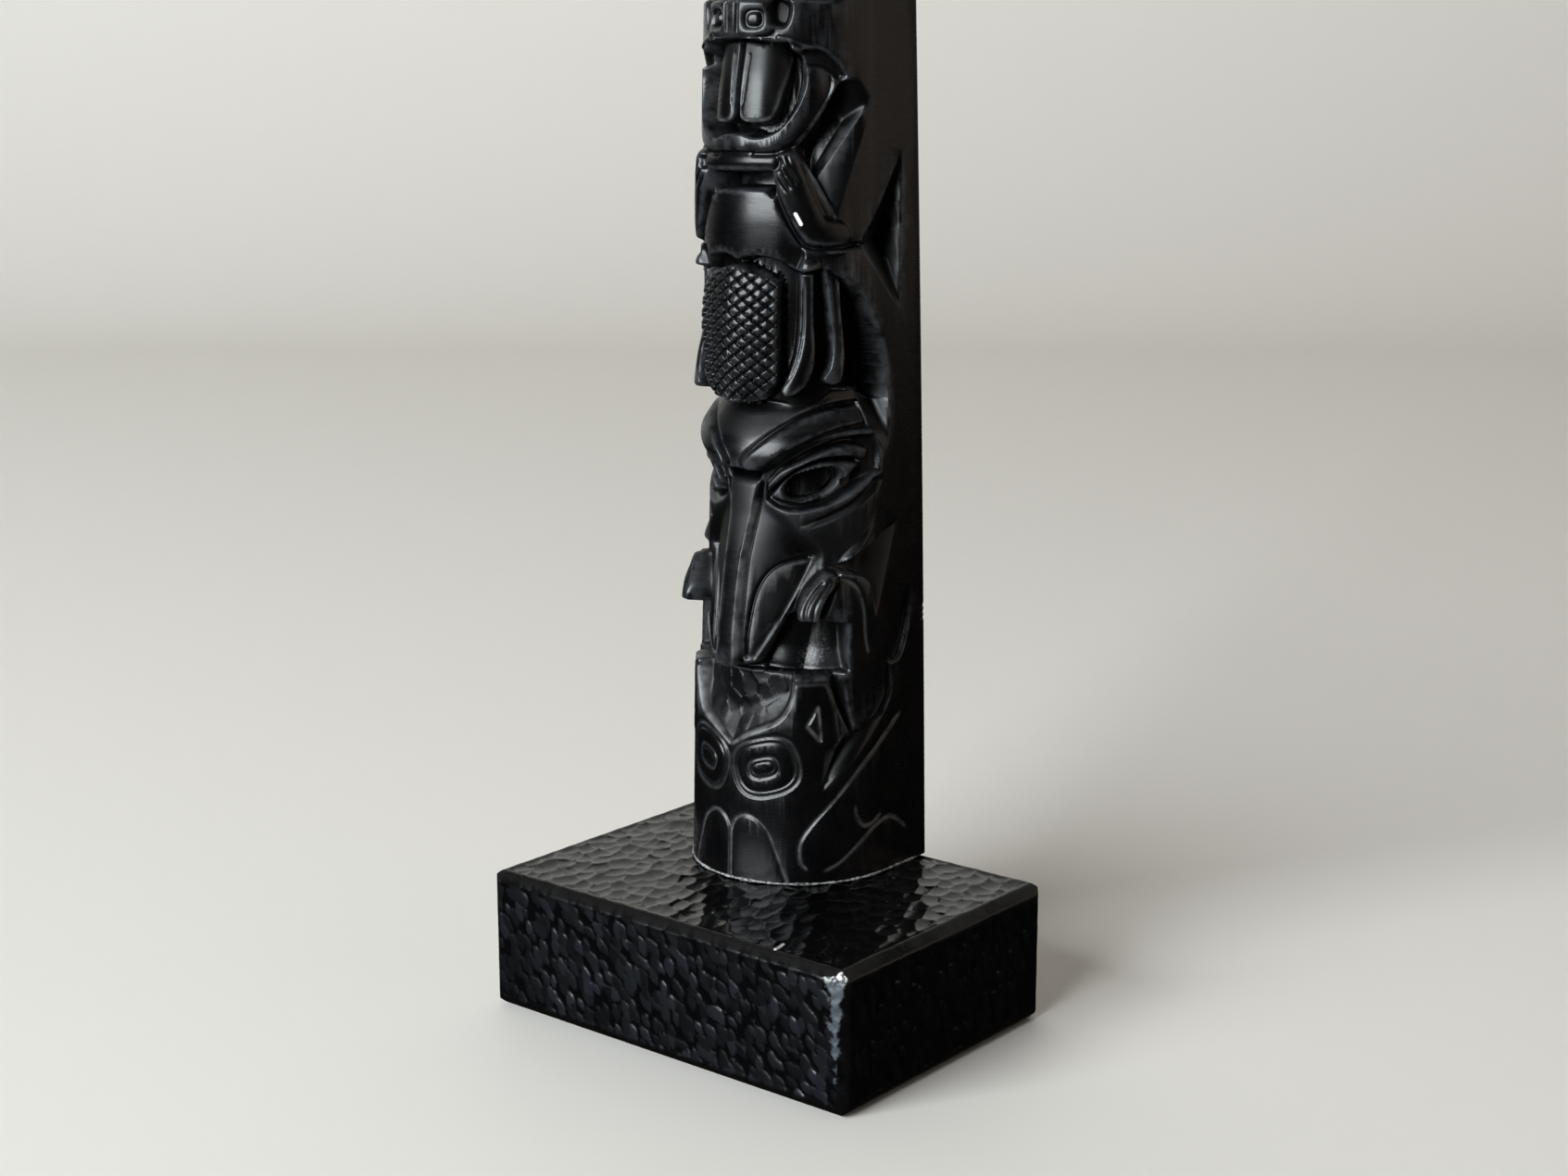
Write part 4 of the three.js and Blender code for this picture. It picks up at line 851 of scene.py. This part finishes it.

# %% [markdown]
# ## Where it is worn, dusty, painted with highlights and chopped
#
# The finish needs to know what each place on the mesh is. The sheet already says how worn, pale or crumbly
# each place is, and a cut of middling depth was chopped and left rough. So every point of the mesh is
# unwrapped back to its place on the sheet, and the values found there are stored on the mesh as
# attributes, which a material can read.

# %% Store the sheet's values on the mesh
ROUGH_FROM, ROUGH_TO = (-0.35, -0.9), (-2.8, -2.2)


def mesh_points(piece):
    points = np.zeros(len(piece.data.vertices) * 3, np.float32)
    piece.data.vertices.foreach_get("co", points)
    return points.reshape(-1, 3).astype(float) / MM


def store(piece, name, values):
    attribute = piece.data.attributes.new(name, "FLOAT", "POINT")
    attribute.data.foreach_set("value", np.asarray(values, np.float32))


x, y, z = mesh_points(carved_pole).T
x = x - CENTRE_X
angle = np.arctan2(np.abs(x), CENTRE_Y - y)
around = np.where(y < CENTRE_Y, log_radius(z) * angle, log_radius(z) * math.pi / 2 + y - CENTRE_Y)
around = np.sign(x) * np.minimum(around, LAST_PLACE)
carved = (y < log_back(z) - CORNER) & (z < CROWN - CROWN_ROUND)
u, v = slipped(around, z)
cut = sheet.at(sheet.height, u, v)
grids = {"worn": worn, "pale": pale, "crumbs": sheet.crumbs}
values = {name: sheet.at(grid, u, v) for name, grid in grids.items()}
values["chopped"] = ease(cut, *ROUGH_FROM) * ease(cut, *ROUGH_TO)
for name, value in values.items():
    store(carved_pole, name, np.where(carved, value, 0))
print("points coloured:", int(carved.sum()), "of", len(x))

# %% [markdown]
# ## The plinth
#
# The plinth is a block with slanting edges. Its sides carry low leaf-shaped marks that slant their own
# ways, and its top carries broad shallow dimples. It starts as a grid over a box. Every point near an edge
# is pulled on to the slanting edge, and every point then sinks into the marks of the side it faces.

# %% Skin a box with a grid
def box_skin(half, spacing):
    """Points and quads over the six sides of a box round the origin, with shared borders merged."""
    points, quads = [], []
    for axis, a, b in ((0, 1, 2), (1, 2, 0), (2, 0, 1)):
        lines = [np.linspace(-half[i], half[i], round(2 * half[i] / spacing[i]) + 1) for i in (a, b)]
        grid_a, grid_b = np.meshgrid(*lines, indexing="ij")
        for side in (-1, 1):
            grid = np.zeros(grid_a.shape + (3,))
            grid[..., axis], grid[..., a], grid[..., b] = side * half[axis], grid_a, grid_b
            index = np.arange(grid_a.size).reshape(grid_a.shape) + sum(map(len, points))
            corners = [index[:-1, :-1], index[1:, :-1], index[1:, 1:], index[:-1, 1:]]
            points.append(grid.reshape(-1, 3))
            quads.append(np.stack(corners[::side], -1).reshape(-1, 4))
    merged, number = np.unique(np.round(np.concatenate(points), 4), axis=0, return_inverse=True)
    return merged, number.reshape(-1)[np.concatenate(quads)]


PLINTH_HALF = (plinth_high - plinth_low) / 2
SKIN_STEPS = (0.26, 0.26, 0.24)
skin, skin_quads = box_skin(PLINTH_HALF, SKIN_STEPS)
print("the plinth's skin has", len(skin_quads), "faces")

# %% [markdown]
# Where two sides meet, a place near the edge faces both a little, so it takes a share of the marks of
# each. That makes the edge wander a little, as a hand-cut edge does. The front corner has lost a long
# splinter, which is a slanting plane with a ragged border.

# %% Gouge the plinth
EDGE_REACH, EDGE_CRISP, EDGE_BAND, EDGE_CALM = 2.4, 24, (2.0, 1.5), 0.75
LEAF = dict(across=1.7, along=2.1, half=(0.7, 1.35), turn=26, least=0.75, more=0.55, power=1.4, skew=0.15,
            rim=(1.06, 0.9))
LEAF_GROUND, LEAF_HEIGHT, LEAF_CHANCE, LEAF_DOME = 0.24, 0.11, 0.07, 0.03
DIMPLE = dict(width=2.1, length=3.2, tilt=20, seed=21, hollow=0.42, slant=0.16)
DIMPLE_LEVEL, DIMPLE_CHANCE = 0.16, 0.3
SPLINTER = [(0, -0.6), (3.6, -0.3), (5, 0.36), (8, 0.48), (12, 0.62), (16, 0.75), (18.5, 0.95), (20.5, 1.6)]
SPLINTER_FACE, SPLINTER_RIM = np.array((0.26, -0.966, 0)), (-0.1, -0.03)
# The olive on the right top edge is chosen by the way it faces: dust, and painted light from the right.
TOP_FACING, DUST_AND_LIGHT_RIGHT, DUST_AND_LIGHT_TOP = (0.75, 0.95), (0.15, 0.6), (0.1, 0.5)
PLINTH_TRIANGLES = 196000


def side_marks(x, y, seed, tilt, pale=1.0):
    """Leaf-shaped marks that slant their own ways and stand a little proud of the dark ground."""
    (half_x, half_y), power = LEAF["half"], LEAF["power"]
    size, chance = np.full(x.shape, FAR_AWAY), np.zeros(x.shape)
    for from_u, from_v, a, b, c in scattered(x / LEAF["across"], y / LEAF["along"], seed):
        turn = np.radians(tilt + LEAF["turn"] * (2 * ((7 * a + 5 * b) % 1) - 1))
        from_x, from_y = from_u * LEAF["across"], from_v * LEAF["along"]
        grown = LEAF["least"] + LEAF["more"] * c
        p = (np.cos(turn) * from_x + np.sin(turn) * from_y) / (half_x * grown)
        q = (np.cos(turn) * from_y - np.sin(turn) * from_x) / (half_y * grown)
        this = (np.abs(p) ** power + np.abs(q) ** power) ** (1 / power) * (1 - LEAF["skew"] * p)
        chance, size = np.where(this < size, (3 * c + 2 * a) % 1, chance), np.minimum(this, size)
    leaf = ease(size, *LEAF["rim"])
    proud = leaf * (LEAF_HEIGHT + LEAF_CHANCE * chance - LEAF_DOME * size ** 2)
    # The second value is the share of painted light on each leaf.
    return LEAF_GROUND - proud, leaf * pale, chance


def top_marks(x, y):
    """Hollow dimples with low crests between them."""
    marks, chance = chiselled(x, y, **DIMPLE)
    return DIMPLE_LEVEL - marks, np.ones_like(x), DIMPLE_CHANCE * chance


def core_and_out(points):
    """The nearest places in the block's core, which has no edges of its own, and the ways out from there."""
    inner = PLINTH_HALF - EDGE_REACH
    core = np.clip(points, -inner, inner)
    out = points - core
    return core, out / np.linalg.norm(out, axis=1)[:, None]


def plinth_marks(points, out):
    """Depth, border and chance of the marks at points round the plinth's middle that face ways out."""
    x, y, z = points.T
    # The right side's marks get a quarter of the painted light, a painted shade on the side away from the
    # window.
    sides = [((0, -1, 0), side_marks(x, z, 11, 32)), ((1, 0, 0), side_marks(y, z, 13, 30, 0.25)),
             ((0, 1, 0), side_marks(-x, z, 15, 32)), ((-1, 0, 0), side_marks(-y, z, 17, 25)),
             ((0, 0, 1), top_marks(x, y)), ((0, 0, -1), (0 * x, np.ones_like(x), 0 * x))]
    shares = np.array([np.clip(out @ np.array(facing), 0, None) ** 2 for facing, _ in sides])
    shares /= shares.sum(0)
    return [sum(share * marks[k] for share, (_, marks) in zip(shares, sides)) for k in range(3)]


def beyond_splinter(points):
    """How far points stand out past the face that the lost splinter left."""
    height = points[:, 2] + PLINTH_HALF[2]
    corner = PLINTH_HALF * (1, -1, 0)
    ragged = 0.14 * wobble(height * 1.9, points[:, 0]) + 0.06 * wobble(height * 6, 3 * points[:, 0])
    past_face = (points * (1, 1, 0) - corner) @ SPLINTER_FACE
    return past_face + profile(height, *SPLINTER, bend=0.6) + ragged * (height > 4)


def chamfered(out):
    """How far the skin of a block with slanting edges is from its core, for each way out."""
    largest = np.sort(np.abs(out), axis=1)[:, ::-1]
    flat, slanting = 1 / largest[:, 0], math.sqrt(2) / (largest[:, 0] + largest[:, 1])
    return EDGE_REACH * (flat ** -EDGE_CRISP + slanting ** -EDGE_CRISP) ** (-1 / EDGE_CRISP)


def on_edges(points):
    """1 on the slanting edges and 0 on the sides."""
    gaps = np.sort(PLINTH_HALF - np.abs(points), axis=1)
    return ease(gaps[:, 0] + gaps[:, 1], *EDGE_BAND)


core, out = core_and_out(skin)
points = core + chamfered(out)[:, None] * out
_, out = core_and_out(points)
depth, _, _ = plinth_marks(points, out)
points = points - out * (np.clip(depth, 0, None) * (1 - EDGE_CALM * on_edges(points)))[:, None]
points = points - np.clip(beyond_splinter(points), 0, None)[:, None] * SPLINTER_FACE
gouged_plinth = mesh_object("gouged_plinth", points + (0, 0, PLINTH_HALF[2]), skin_quads.tolist())
apply_modifier(gouged_plinth, "DECIMATE", ratio=PLINTH_TRIANGLES / (2 * len(skin_quads)))
gouged_plinth.data.shade_smooth()

final = mesh_points(gouged_plinth) - (0, 0, PLINTH_HALF[2])
_, out = core_and_out(final)
_, border, chance = plinth_marks(final, out)
# The right top edge is marked by the way it faces and painted olive: dust, and painted light from the right.
values = {"border": border, "chance": chance, "edge": on_edges(final),
          "topside": ease(out[:, 2], *TOP_FACING), "splinter": ease(beyond_splinter(final), *SPLINTER_RIM),
          "dust_and_painted_light": ease(out[:, 0], *DUST_AND_LIGHT_RIGHT) * ease(out[:, 2], *DUST_AND_LIGHT_TOP)}
for name, value in values.items():
    store(gouged_plinth, name, value)
print("the plinth spans", [round(float(v), 1) for v in np.ptp(points, axis=0)], "mm")

# %% [markdown]
# ## The seam
#
# The pole is set on the plinth with a thin line of glue, which has caught pale stone dust. It is a bead
# of uneven thickness round the front and both flanks, thinning out before it reaches the back.

# %% Lay the seam
SEAM_FLANK, SEAM_END = 9.2, 0.06
SEAM_LEAST, SEAM_THIN, SEAM_MORE = 0.02, 0.08, 0.17
QUARTER_ROUND = RADIUS * math.pi / 2
SEAM_REACH = QUARTER_ROUND + SEAM_FLANK


def seam_bead(steps=1400, section=9):
    """Rings of a thin bead along the foot of the log, from one flank round the front to the other."""
    up = np.array((0, 0, 1))
    angles = np.linspace(0, 2 * math.pi, section, endpoint=False)
    rings = []
    for t in np.linspace(-1, 1, steps):
        s = t * SEAM_REACH
        side, run = math.copysign(1, s), max(abs(s) - QUARTER_ROUND, 0)
        a = min(abs(s) / RADIUS, math.pi / 2)
        out = np.array((side * math.sin(a), -math.cos(a), 0))
        place = np.array((CENTRE_X, CENTRE_Y + run, FOOT)) + RADIUS * out
        crumbs = 0.5 + 0.4 * wobble(s * 0.9, 1.0) + 0.25 * wobble(s * 3.7, 4.0)
        thick = (SEAM_THIN + SEAM_MORE * np.clip(crumbs, 0, 1)) * ease(1 - abs(t), 0, SEAM_END) + SEAM_LEAST
        rings.append([place + thick * (math.cos(k) * out + math.sin(k) * up) for k in angles])
    rings = np.array(rings)
    return mesh_object("seam", rings.reshape(-1, 3), tube_faces(*rings.shape[:2]))


seam = seam_bead()
seam.data.shade_smooth()
print("the seam is", round(2 * SEAM_REACH), "mm long")

# %% [markdown]
# ## Writing a finish as sums
#
# A material in Blender is a graph of nodes. Written as Python expressions it reads like a recipe: a
# socket is wrapped in a small class whose + - * add Math nodes. Colours are mixed with Mix nodes, and any
# other node comes from one method that takes its type, its settings and what goes into its sockets.

# %% A socket that can be calculated with
class Value:
    def __init__(self, finish, socket):
        self.finish, self.socket = finish, socket

    def maths(self, operation, a, b):
        return self.finish.node("ShaderNodeMath", {"operation": operation}, {0: a, 1: b})

    def __add__(self, other):
        return self.maths("ADD", self, other)

    def __sub__(self, other):
        return self.maths("SUBTRACT", self, other)

    def __mul__(self, other):
        return self.maths("MULTIPLY", self, other)

    def __rsub__(self, other):
        return self.maths("SUBTRACT", other, self)

    __radd__, __rmul__ = __add__, __mul__

    def between(self, low, high):
        """0 at low, 1 at high, smooth between."""
        return self.finish.node("ShaderNodeMapRange", {"interpolation_type": "SMOOTHSTEP"},
                                {"Value": self, "From Min": low, "From Max": high})

    def at_most(self, other):
        return self.maths("MINIMUM", self, other)

    def at_least(self, other):
        return self.maths("MAXIMUM", self, other)


class Finish:
    """A material and its node graph."""

    def __init__(self, name, **uniform):
        self.material = bpy.data.materials.new(name)
        self.material.use_nodes = True
        self.tree = self.material.node_tree
        self.shader = self.tree.nodes["Principled BSDF"]
        for socket, value in uniform.items():
            self.shader.inputs[socket.replace("_", " ")].default_value = value
        self.place = self.node("ShaderNodeTexCoord", {}, {}, "Object")

    def node(self, kind, settings, sockets, output=0):
        made = self.tree.nodes.new(kind)
        for name, value in settings.items():
            setattr(made, name, value)
        for name, value in sockets.items():
            if isinstance(value, Value):
                self.tree.links.new(value.socket, made.inputs[name])
            else:
                made.inputs[name].default_value = value
        return Value(self, made.outputs[output])

    def vector(self, operation, a, b, second=1, output=0):
        return self.node("ShaderNodeVectorMath", {"operation": operation}, {0: a, second: b}, output)

    def stored(self, name):
        """A value stored on the mesh."""
        return self.node("ShaderNodeAttribute", {"attribute_name": name}, {}, "Fac")

    def noise(self, size, detail=2.0, stretch=(1, 1, 1), roughness=0.5):
        """Cloudy noise whose clouds are about size millimetres across, stretched along the axes."""
        scaled = self.vector("MULTIPLY", self.place, [1 / (k * size * MM) for k in stretch])
        return self.node("ShaderNodeTexNoise", {}, {"Vector": scaled, "Scale": 1.0, "Detail": detail,
                                                    "Roughness": roughness})

    def mix(self, share, a, b):
        """Colour a where share is 0 and colour b where it is 1."""
        colours = {6: a if isinstance(a, Value) else (*a, 1), 7: b if isinstance(b, Value) else (*b, 1)}
        return self.node("ShaderNodeMix", {"data_type": "RGBA"}, {0: share, **colours}, 2)

    def streak(self, start, end, half):
        """1 on a short straight mark between two places in millimetres, 0 off it."""
        a, b = np.array(start) * MM, np.array(end) * MM
        along = b - a
        from_a = self.vector("SUBTRACT", self.place, list(a))
        share = self.vector("DOT_PRODUCT", from_a, list(along / (along @ along)), output="Value")
        foot = self.vector("SCALE", list(along), share.at_least(0).at_most(1), second="Scale")
        gap = self.vector("DISTANCE", from_a, foot, output="Value")
        return gap.between(half * MM, 0.5 * half * MM)

    def height_band(self, low, high):
        """0 below a height in millimetres, 1 above the other."""
        upright = self.node("ShaderNodeSeparateXYZ", {}, {"Vector": self.place}, "Z")
        return upright.between(low * MM, high * MM)

    def bump(self, height, depth):
        """The shader's normal, from a height between 0 and 1 that stands for a depth in millimetres."""
        normal = self.node("ShaderNodeBump", {}, {"Height": height, "Strength": 1.0, "Distance": depth * MM})
        self.use(Normal=normal)

    def use(self, **sockets):
        for name, value in sockets.items():
            self.tree.links.new(value.socket, self.shader.inputs[name.replace("_", " ")])


print("a finish feeds", "Base Color, Roughness and Normal")

# %% [markdown]
# ## The finish of the pole
#
# The stone is nearly black and rubbed to a soft polish, so its colour hardly shows and its gloss does the
# work. Fine polishing strokes run round the log and make the gloss a little uneven. Worn edges turn grey,
# scratched lines hold pale dust, pale lines painted along some edges and round the eye holes and nostrils
# stand for highlights, and chopped places are a little rougher than the rest.

# %% Polish the pole
BLACK, SOFT_BLACK = (0.0018, 0.002, 0.0025), (0.0034, 0.0034, 0.0038)
WORN_GREY, DUST_AND_HIGHLIGHT = (0.05, 0.053, 0.058), (0.26, 0.265, 0.27)
BARE = (0.7, 0.69, 0.66)
CHIP = dict(start=(5.0, 0.45, 111.5), end=(5.6, 0.8, 110.2), half=0.34)
POLISH, CHOPPED_ROUGH, DUST_ROUGH = 0.17, 0.16, 0.3


def polished_stone():
    finish = Finish("polished_stone")
    clouds, grain = finish.noise(5, 4), finish.noise(0.35, 3)
    strokes = finish.noise(1.0, 3, stretch=(2.2, 2.2, 0.3))
    uneven = finish.noise(1.6, 3)
    worn_here = finish.stored("worn") * uneven.between(0.25, 0.62)
    # The sheet's pale grid: dust in the scratched lines, and pale lines painted along edges and rings as
    # highlights.
    dust_and_painted_light = finish.stored("pale") * uneven.between(0.1, 0.7)
    chip = finish.streak(**CHIP)
    colour = finish.mix(clouds.between(0.35, 0.7), BLACK, SOFT_BLACK)
    colour = finish.mix(worn_here * 0.8, colour, WORN_GREY)
    colour = finish.mix(dust_and_painted_light, colour, DUST_AND_HIGHLIGHT)
    colour = finish.mix(finish.stored("crumbs") * grain.between(0.42, 0.75) * 0.5, colour, BARE)
    colour = finish.mix(chip, colour, BARE)
    gloss = strokes * 0.1 + clouds * 0.1 + POLISH
    rough = gloss + finish.stored("chopped") * CHOPPED_ROUGH + dust_and_painted_light * DUST_ROUGH
    finish.use(Base_Color=colour, Roughness=rough)
    finish.bump(grain * 0.5 + strokes * 0.5, 0.012)
    return finish.material


carved_pole.data.materials.append(polished_stone())
print("finished the pole")

# %% [markdown]
# ## The finish of the plinth
#
# The plinth is the same stone, waxed but not rubbed. Each leaf mark is painted a lighter blue-black, a
# painted highlight that stands for the window's light, stronger on some leaves than others, and the ground
# between the leaves keeps the stone's black. The marks on the right side get a quarter of that paint, a
# painted shade on the side away from the window. Its slanting edges are browner, and on the right one dull
# dust is painted together with light falling from the right. The splinter on the front corner shows bare
# grey stone with white crumbs at its top, and a short white scratch lies beside it.

# %% Wax the plinth
GREY_STONE, LEAF_PAINTED_LIGHT = (0.06, 0.07, 0.083), (0.014, 0.016, 0.02)
EDGE_BROWN, OLIVE_DUST_AND_LIGHT = (0.004, 0.0037, 0.0034), (0.014, 0.0145, 0.012)
SCRATCH = dict(start=(19.2, -20.9, 19.85), end=(18.5, -18.5, 19.85), half=0.36)
SHARD_FROM, SHARD_FULL = 17.6, 19.4
WAX, LEAF_ROUGH, BROKEN_ROUGH = 0.14, 0.14, 0.25


def waxed_stone():
    finish = Finish("waxed_stone")
    clouds, grain = finish.noise(7, 3), finish.noise(0.5, 3)
    border, chance = finish.stored("border"), finish.stored("chance")
    leaf = border * (1 - finish.stored("topside"))
    # The leaves are painted a lighter blue-black as a painted highlight, more on some than others; the ground
    # stays black.
    colour = finish.mix(leaf * (chance * chance * 0.9 + 0.1), BLACK, LEAF_PAINTED_LIGHT)
    bare, dust_and_painted_light = finish.stored("splinter"), finish.stored("dust_and_painted_light") * clouds.between(0.25, 0.6)
    edge = finish.stored("edge")
    colour = finish.mix(edge * grain.between(0.2, 0.8), colour, EDGE_BROWN)
    # Olive on the right top edge: dust, and painted light falling from the right.
    colour = finish.mix(dust_and_painted_light, colour, OLIVE_DUST_AND_LIGHT)
    colour = finish.mix(bare, colour, GREY_STONE)
    shard = bare * finish.height_band(SHARD_FROM, SHARD_FULL) * grain.between(0.42, 0.55)
    colour = finish.mix(shard, colour, BARE)
    colour = finish.mix(finish.streak(**SCRATCH), colour, BARE)
    gloss = clouds * 0.06 + grain * 0.06 + WAX
    rough = gloss + leaf * LEAF_ROUGH + bare * BROKEN_ROUGH + dust_and_painted_light * BROKEN_ROUGH
    finish.use(Base_Color=colour, Roughness=rough)
    finish.bump(grain, 0.02)
    return finish.material


gouged_plinth.data.materials.append(waxed_stone())
print("finished the plinth")

# %% [markdown]
# ## The finish of the seam
#
# Dried glue with stone dust in it is matt and crumbly, so its colour breaks up into pale and dark crumbs.

# %% Dust the seam
DARK_CRUMBS, PALE_CRUMBS = (0.04, 0.04, 0.04), (0.4, 0.4, 0.39)


def dusty_glue():
    finish = Finish("dusty_glue")
    crumbs = finish.noise(0.5, 4, roughness=0.7)
    colour = finish.mix(crumbs.between(0.36, 0.6), DARK_CRUMBS, PALE_CRUMBS)
    finish.use(Base_Color=colour, Roughness=crumbs * 0.3 + 0.6)
    finish.bump(crumbs, 0.1)
    return finish.material


seam.data.materials.append(dusty_glue())
print("finished the seam")

# %% [markdown]
# ## Joining the frame
#
# Each piece is attached to the frame's root, and the solid of the frame that it stands for is hidden.

# %% Dress the frame
for piece, node, slot in ((carved_pole, "pole", "carved_stone"), (gouged_plinth, "plinth", "gouged_stone"),
                          (seam, None, "gouged_stone")):
    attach(piece, "root")
    if node:
        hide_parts(node)
    print(piece.name, "stands for", node or "no solid of its own")

# %% [markdown]
# ## The studio
#
# Black stone shows nothing but reflections, so the light is arranged for them: one soft window straight
# in front of the carving and a little above it, a pale backdrop that runs down into the floor, and only
# a faint ceiling and a faint warm glow on the flank besides, so that what faces the camera stays dark.

# %% Light the table
WINDOW_GLOW, CEILING_GLOW, SIDE_GLOW = (0.92, 0.97, 1.0), (1.0, 0.97, 0.93), (1.0, 0.85, 0.72)
ROOM_COLOUR, ROOM_STRENGTH = (0.6, 0.5, 0.42, 1), 0.03
GAMMA = 0.85


def backdrop():
    """A pale floor that curves up into a wall behind the object. Its sizes are in metres."""
    bend, wall, reach, front, half_width = 0.35, 2.2, 0.75, -2.5, 4
    curve = [(reach + bend * math.sin(a), bend * (1 - math.cos(a))) for a in np.linspace(0, math.pi / 2, 24)]
    floor_run, wall_run = [(front, 0.0), (0.0, 0.0), curve[0]], curve + [(reach + bend, wall)]
    across, back, up = Vector((0.773, 0.634, 0)), Vector((-0.634, 0.773, 0)), Vector((0, 0, 1))
    finish = Finish("pale_floor", Base_Color=(0.86, 0.835, 0.79, 1), Roughness=0.6)
    for name, run in (("floor", floor_run), ("wall", wall_run)):
        points = [(side * half_width * across + d * back + h * up) / MM for d, h in run for side in (-1, 1)]
        faces = [(2 * i, 2 * i + 1, 2 * i + 3, 2 * i + 2) for i in range(len(run) - 1)]
        made = mesh_object(name, points, faces)
        made.data.shade_smooth()
        made.data.materials.append(finish.material)
        made.visible_glossy = name == "wall"
        made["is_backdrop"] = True


def soft_light(name, place, size, power, colour, target=(0, 0, 0.08)):
    light = bpy.data.lights.new(name, "AREA")
    light.shape = "RECTANGLE"
    light.size, light.size_y = size
    light.energy, light.color = power, colour
    made = bpy.data.objects.new(name, light)
    bpy.context.collection.objects.link(made)
    made.location = place
    made.rotation_euler = (Vector(target) - Vector(place)).to_track_quat("-Z", "Y").to_euler()
    return made


backdrop()
soft_light("window", (-0.12, -1.3, 0.58), (1.05, 0.95), 38, WINDOW_GLOW)
soft_light("ceiling", (-0.4, 0.3, 1.6), (2.4, 2.4), 6, CEILING_GLOW, target=(-0.1, 0.3, 0))
soft_light("side glow", (1.36, 0.63, 0.4), (1.8, 0.9), 3.6, SIDE_GLOW)
bpy.context.scene.view_settings.view_transform = "Standard"
bpy.context.scene.view_settings.gamma = GAMMA
world = bpy.data.worlds.new("room")
bpy.context.scene.world = world
world.use_nodes = True
background = world.node_tree.nodes["Background"]
background.inputs["Color"].default_value = ROOM_COLOUR
background.inputs["Strength"].default_value = ROOM_STRENGTH

# %% [markdown]
# ## The two boxes
#
# The dressed object must fill the same box as the frame's solids, so both boxes are printed.

# %% Print both boxes
made_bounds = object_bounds()
for name, (low, high) in (("cad", cad_bounds), ("visual", made_bounds)):
    print(name, "size in mm:", [round(v / MM, 1) for v in high - low])
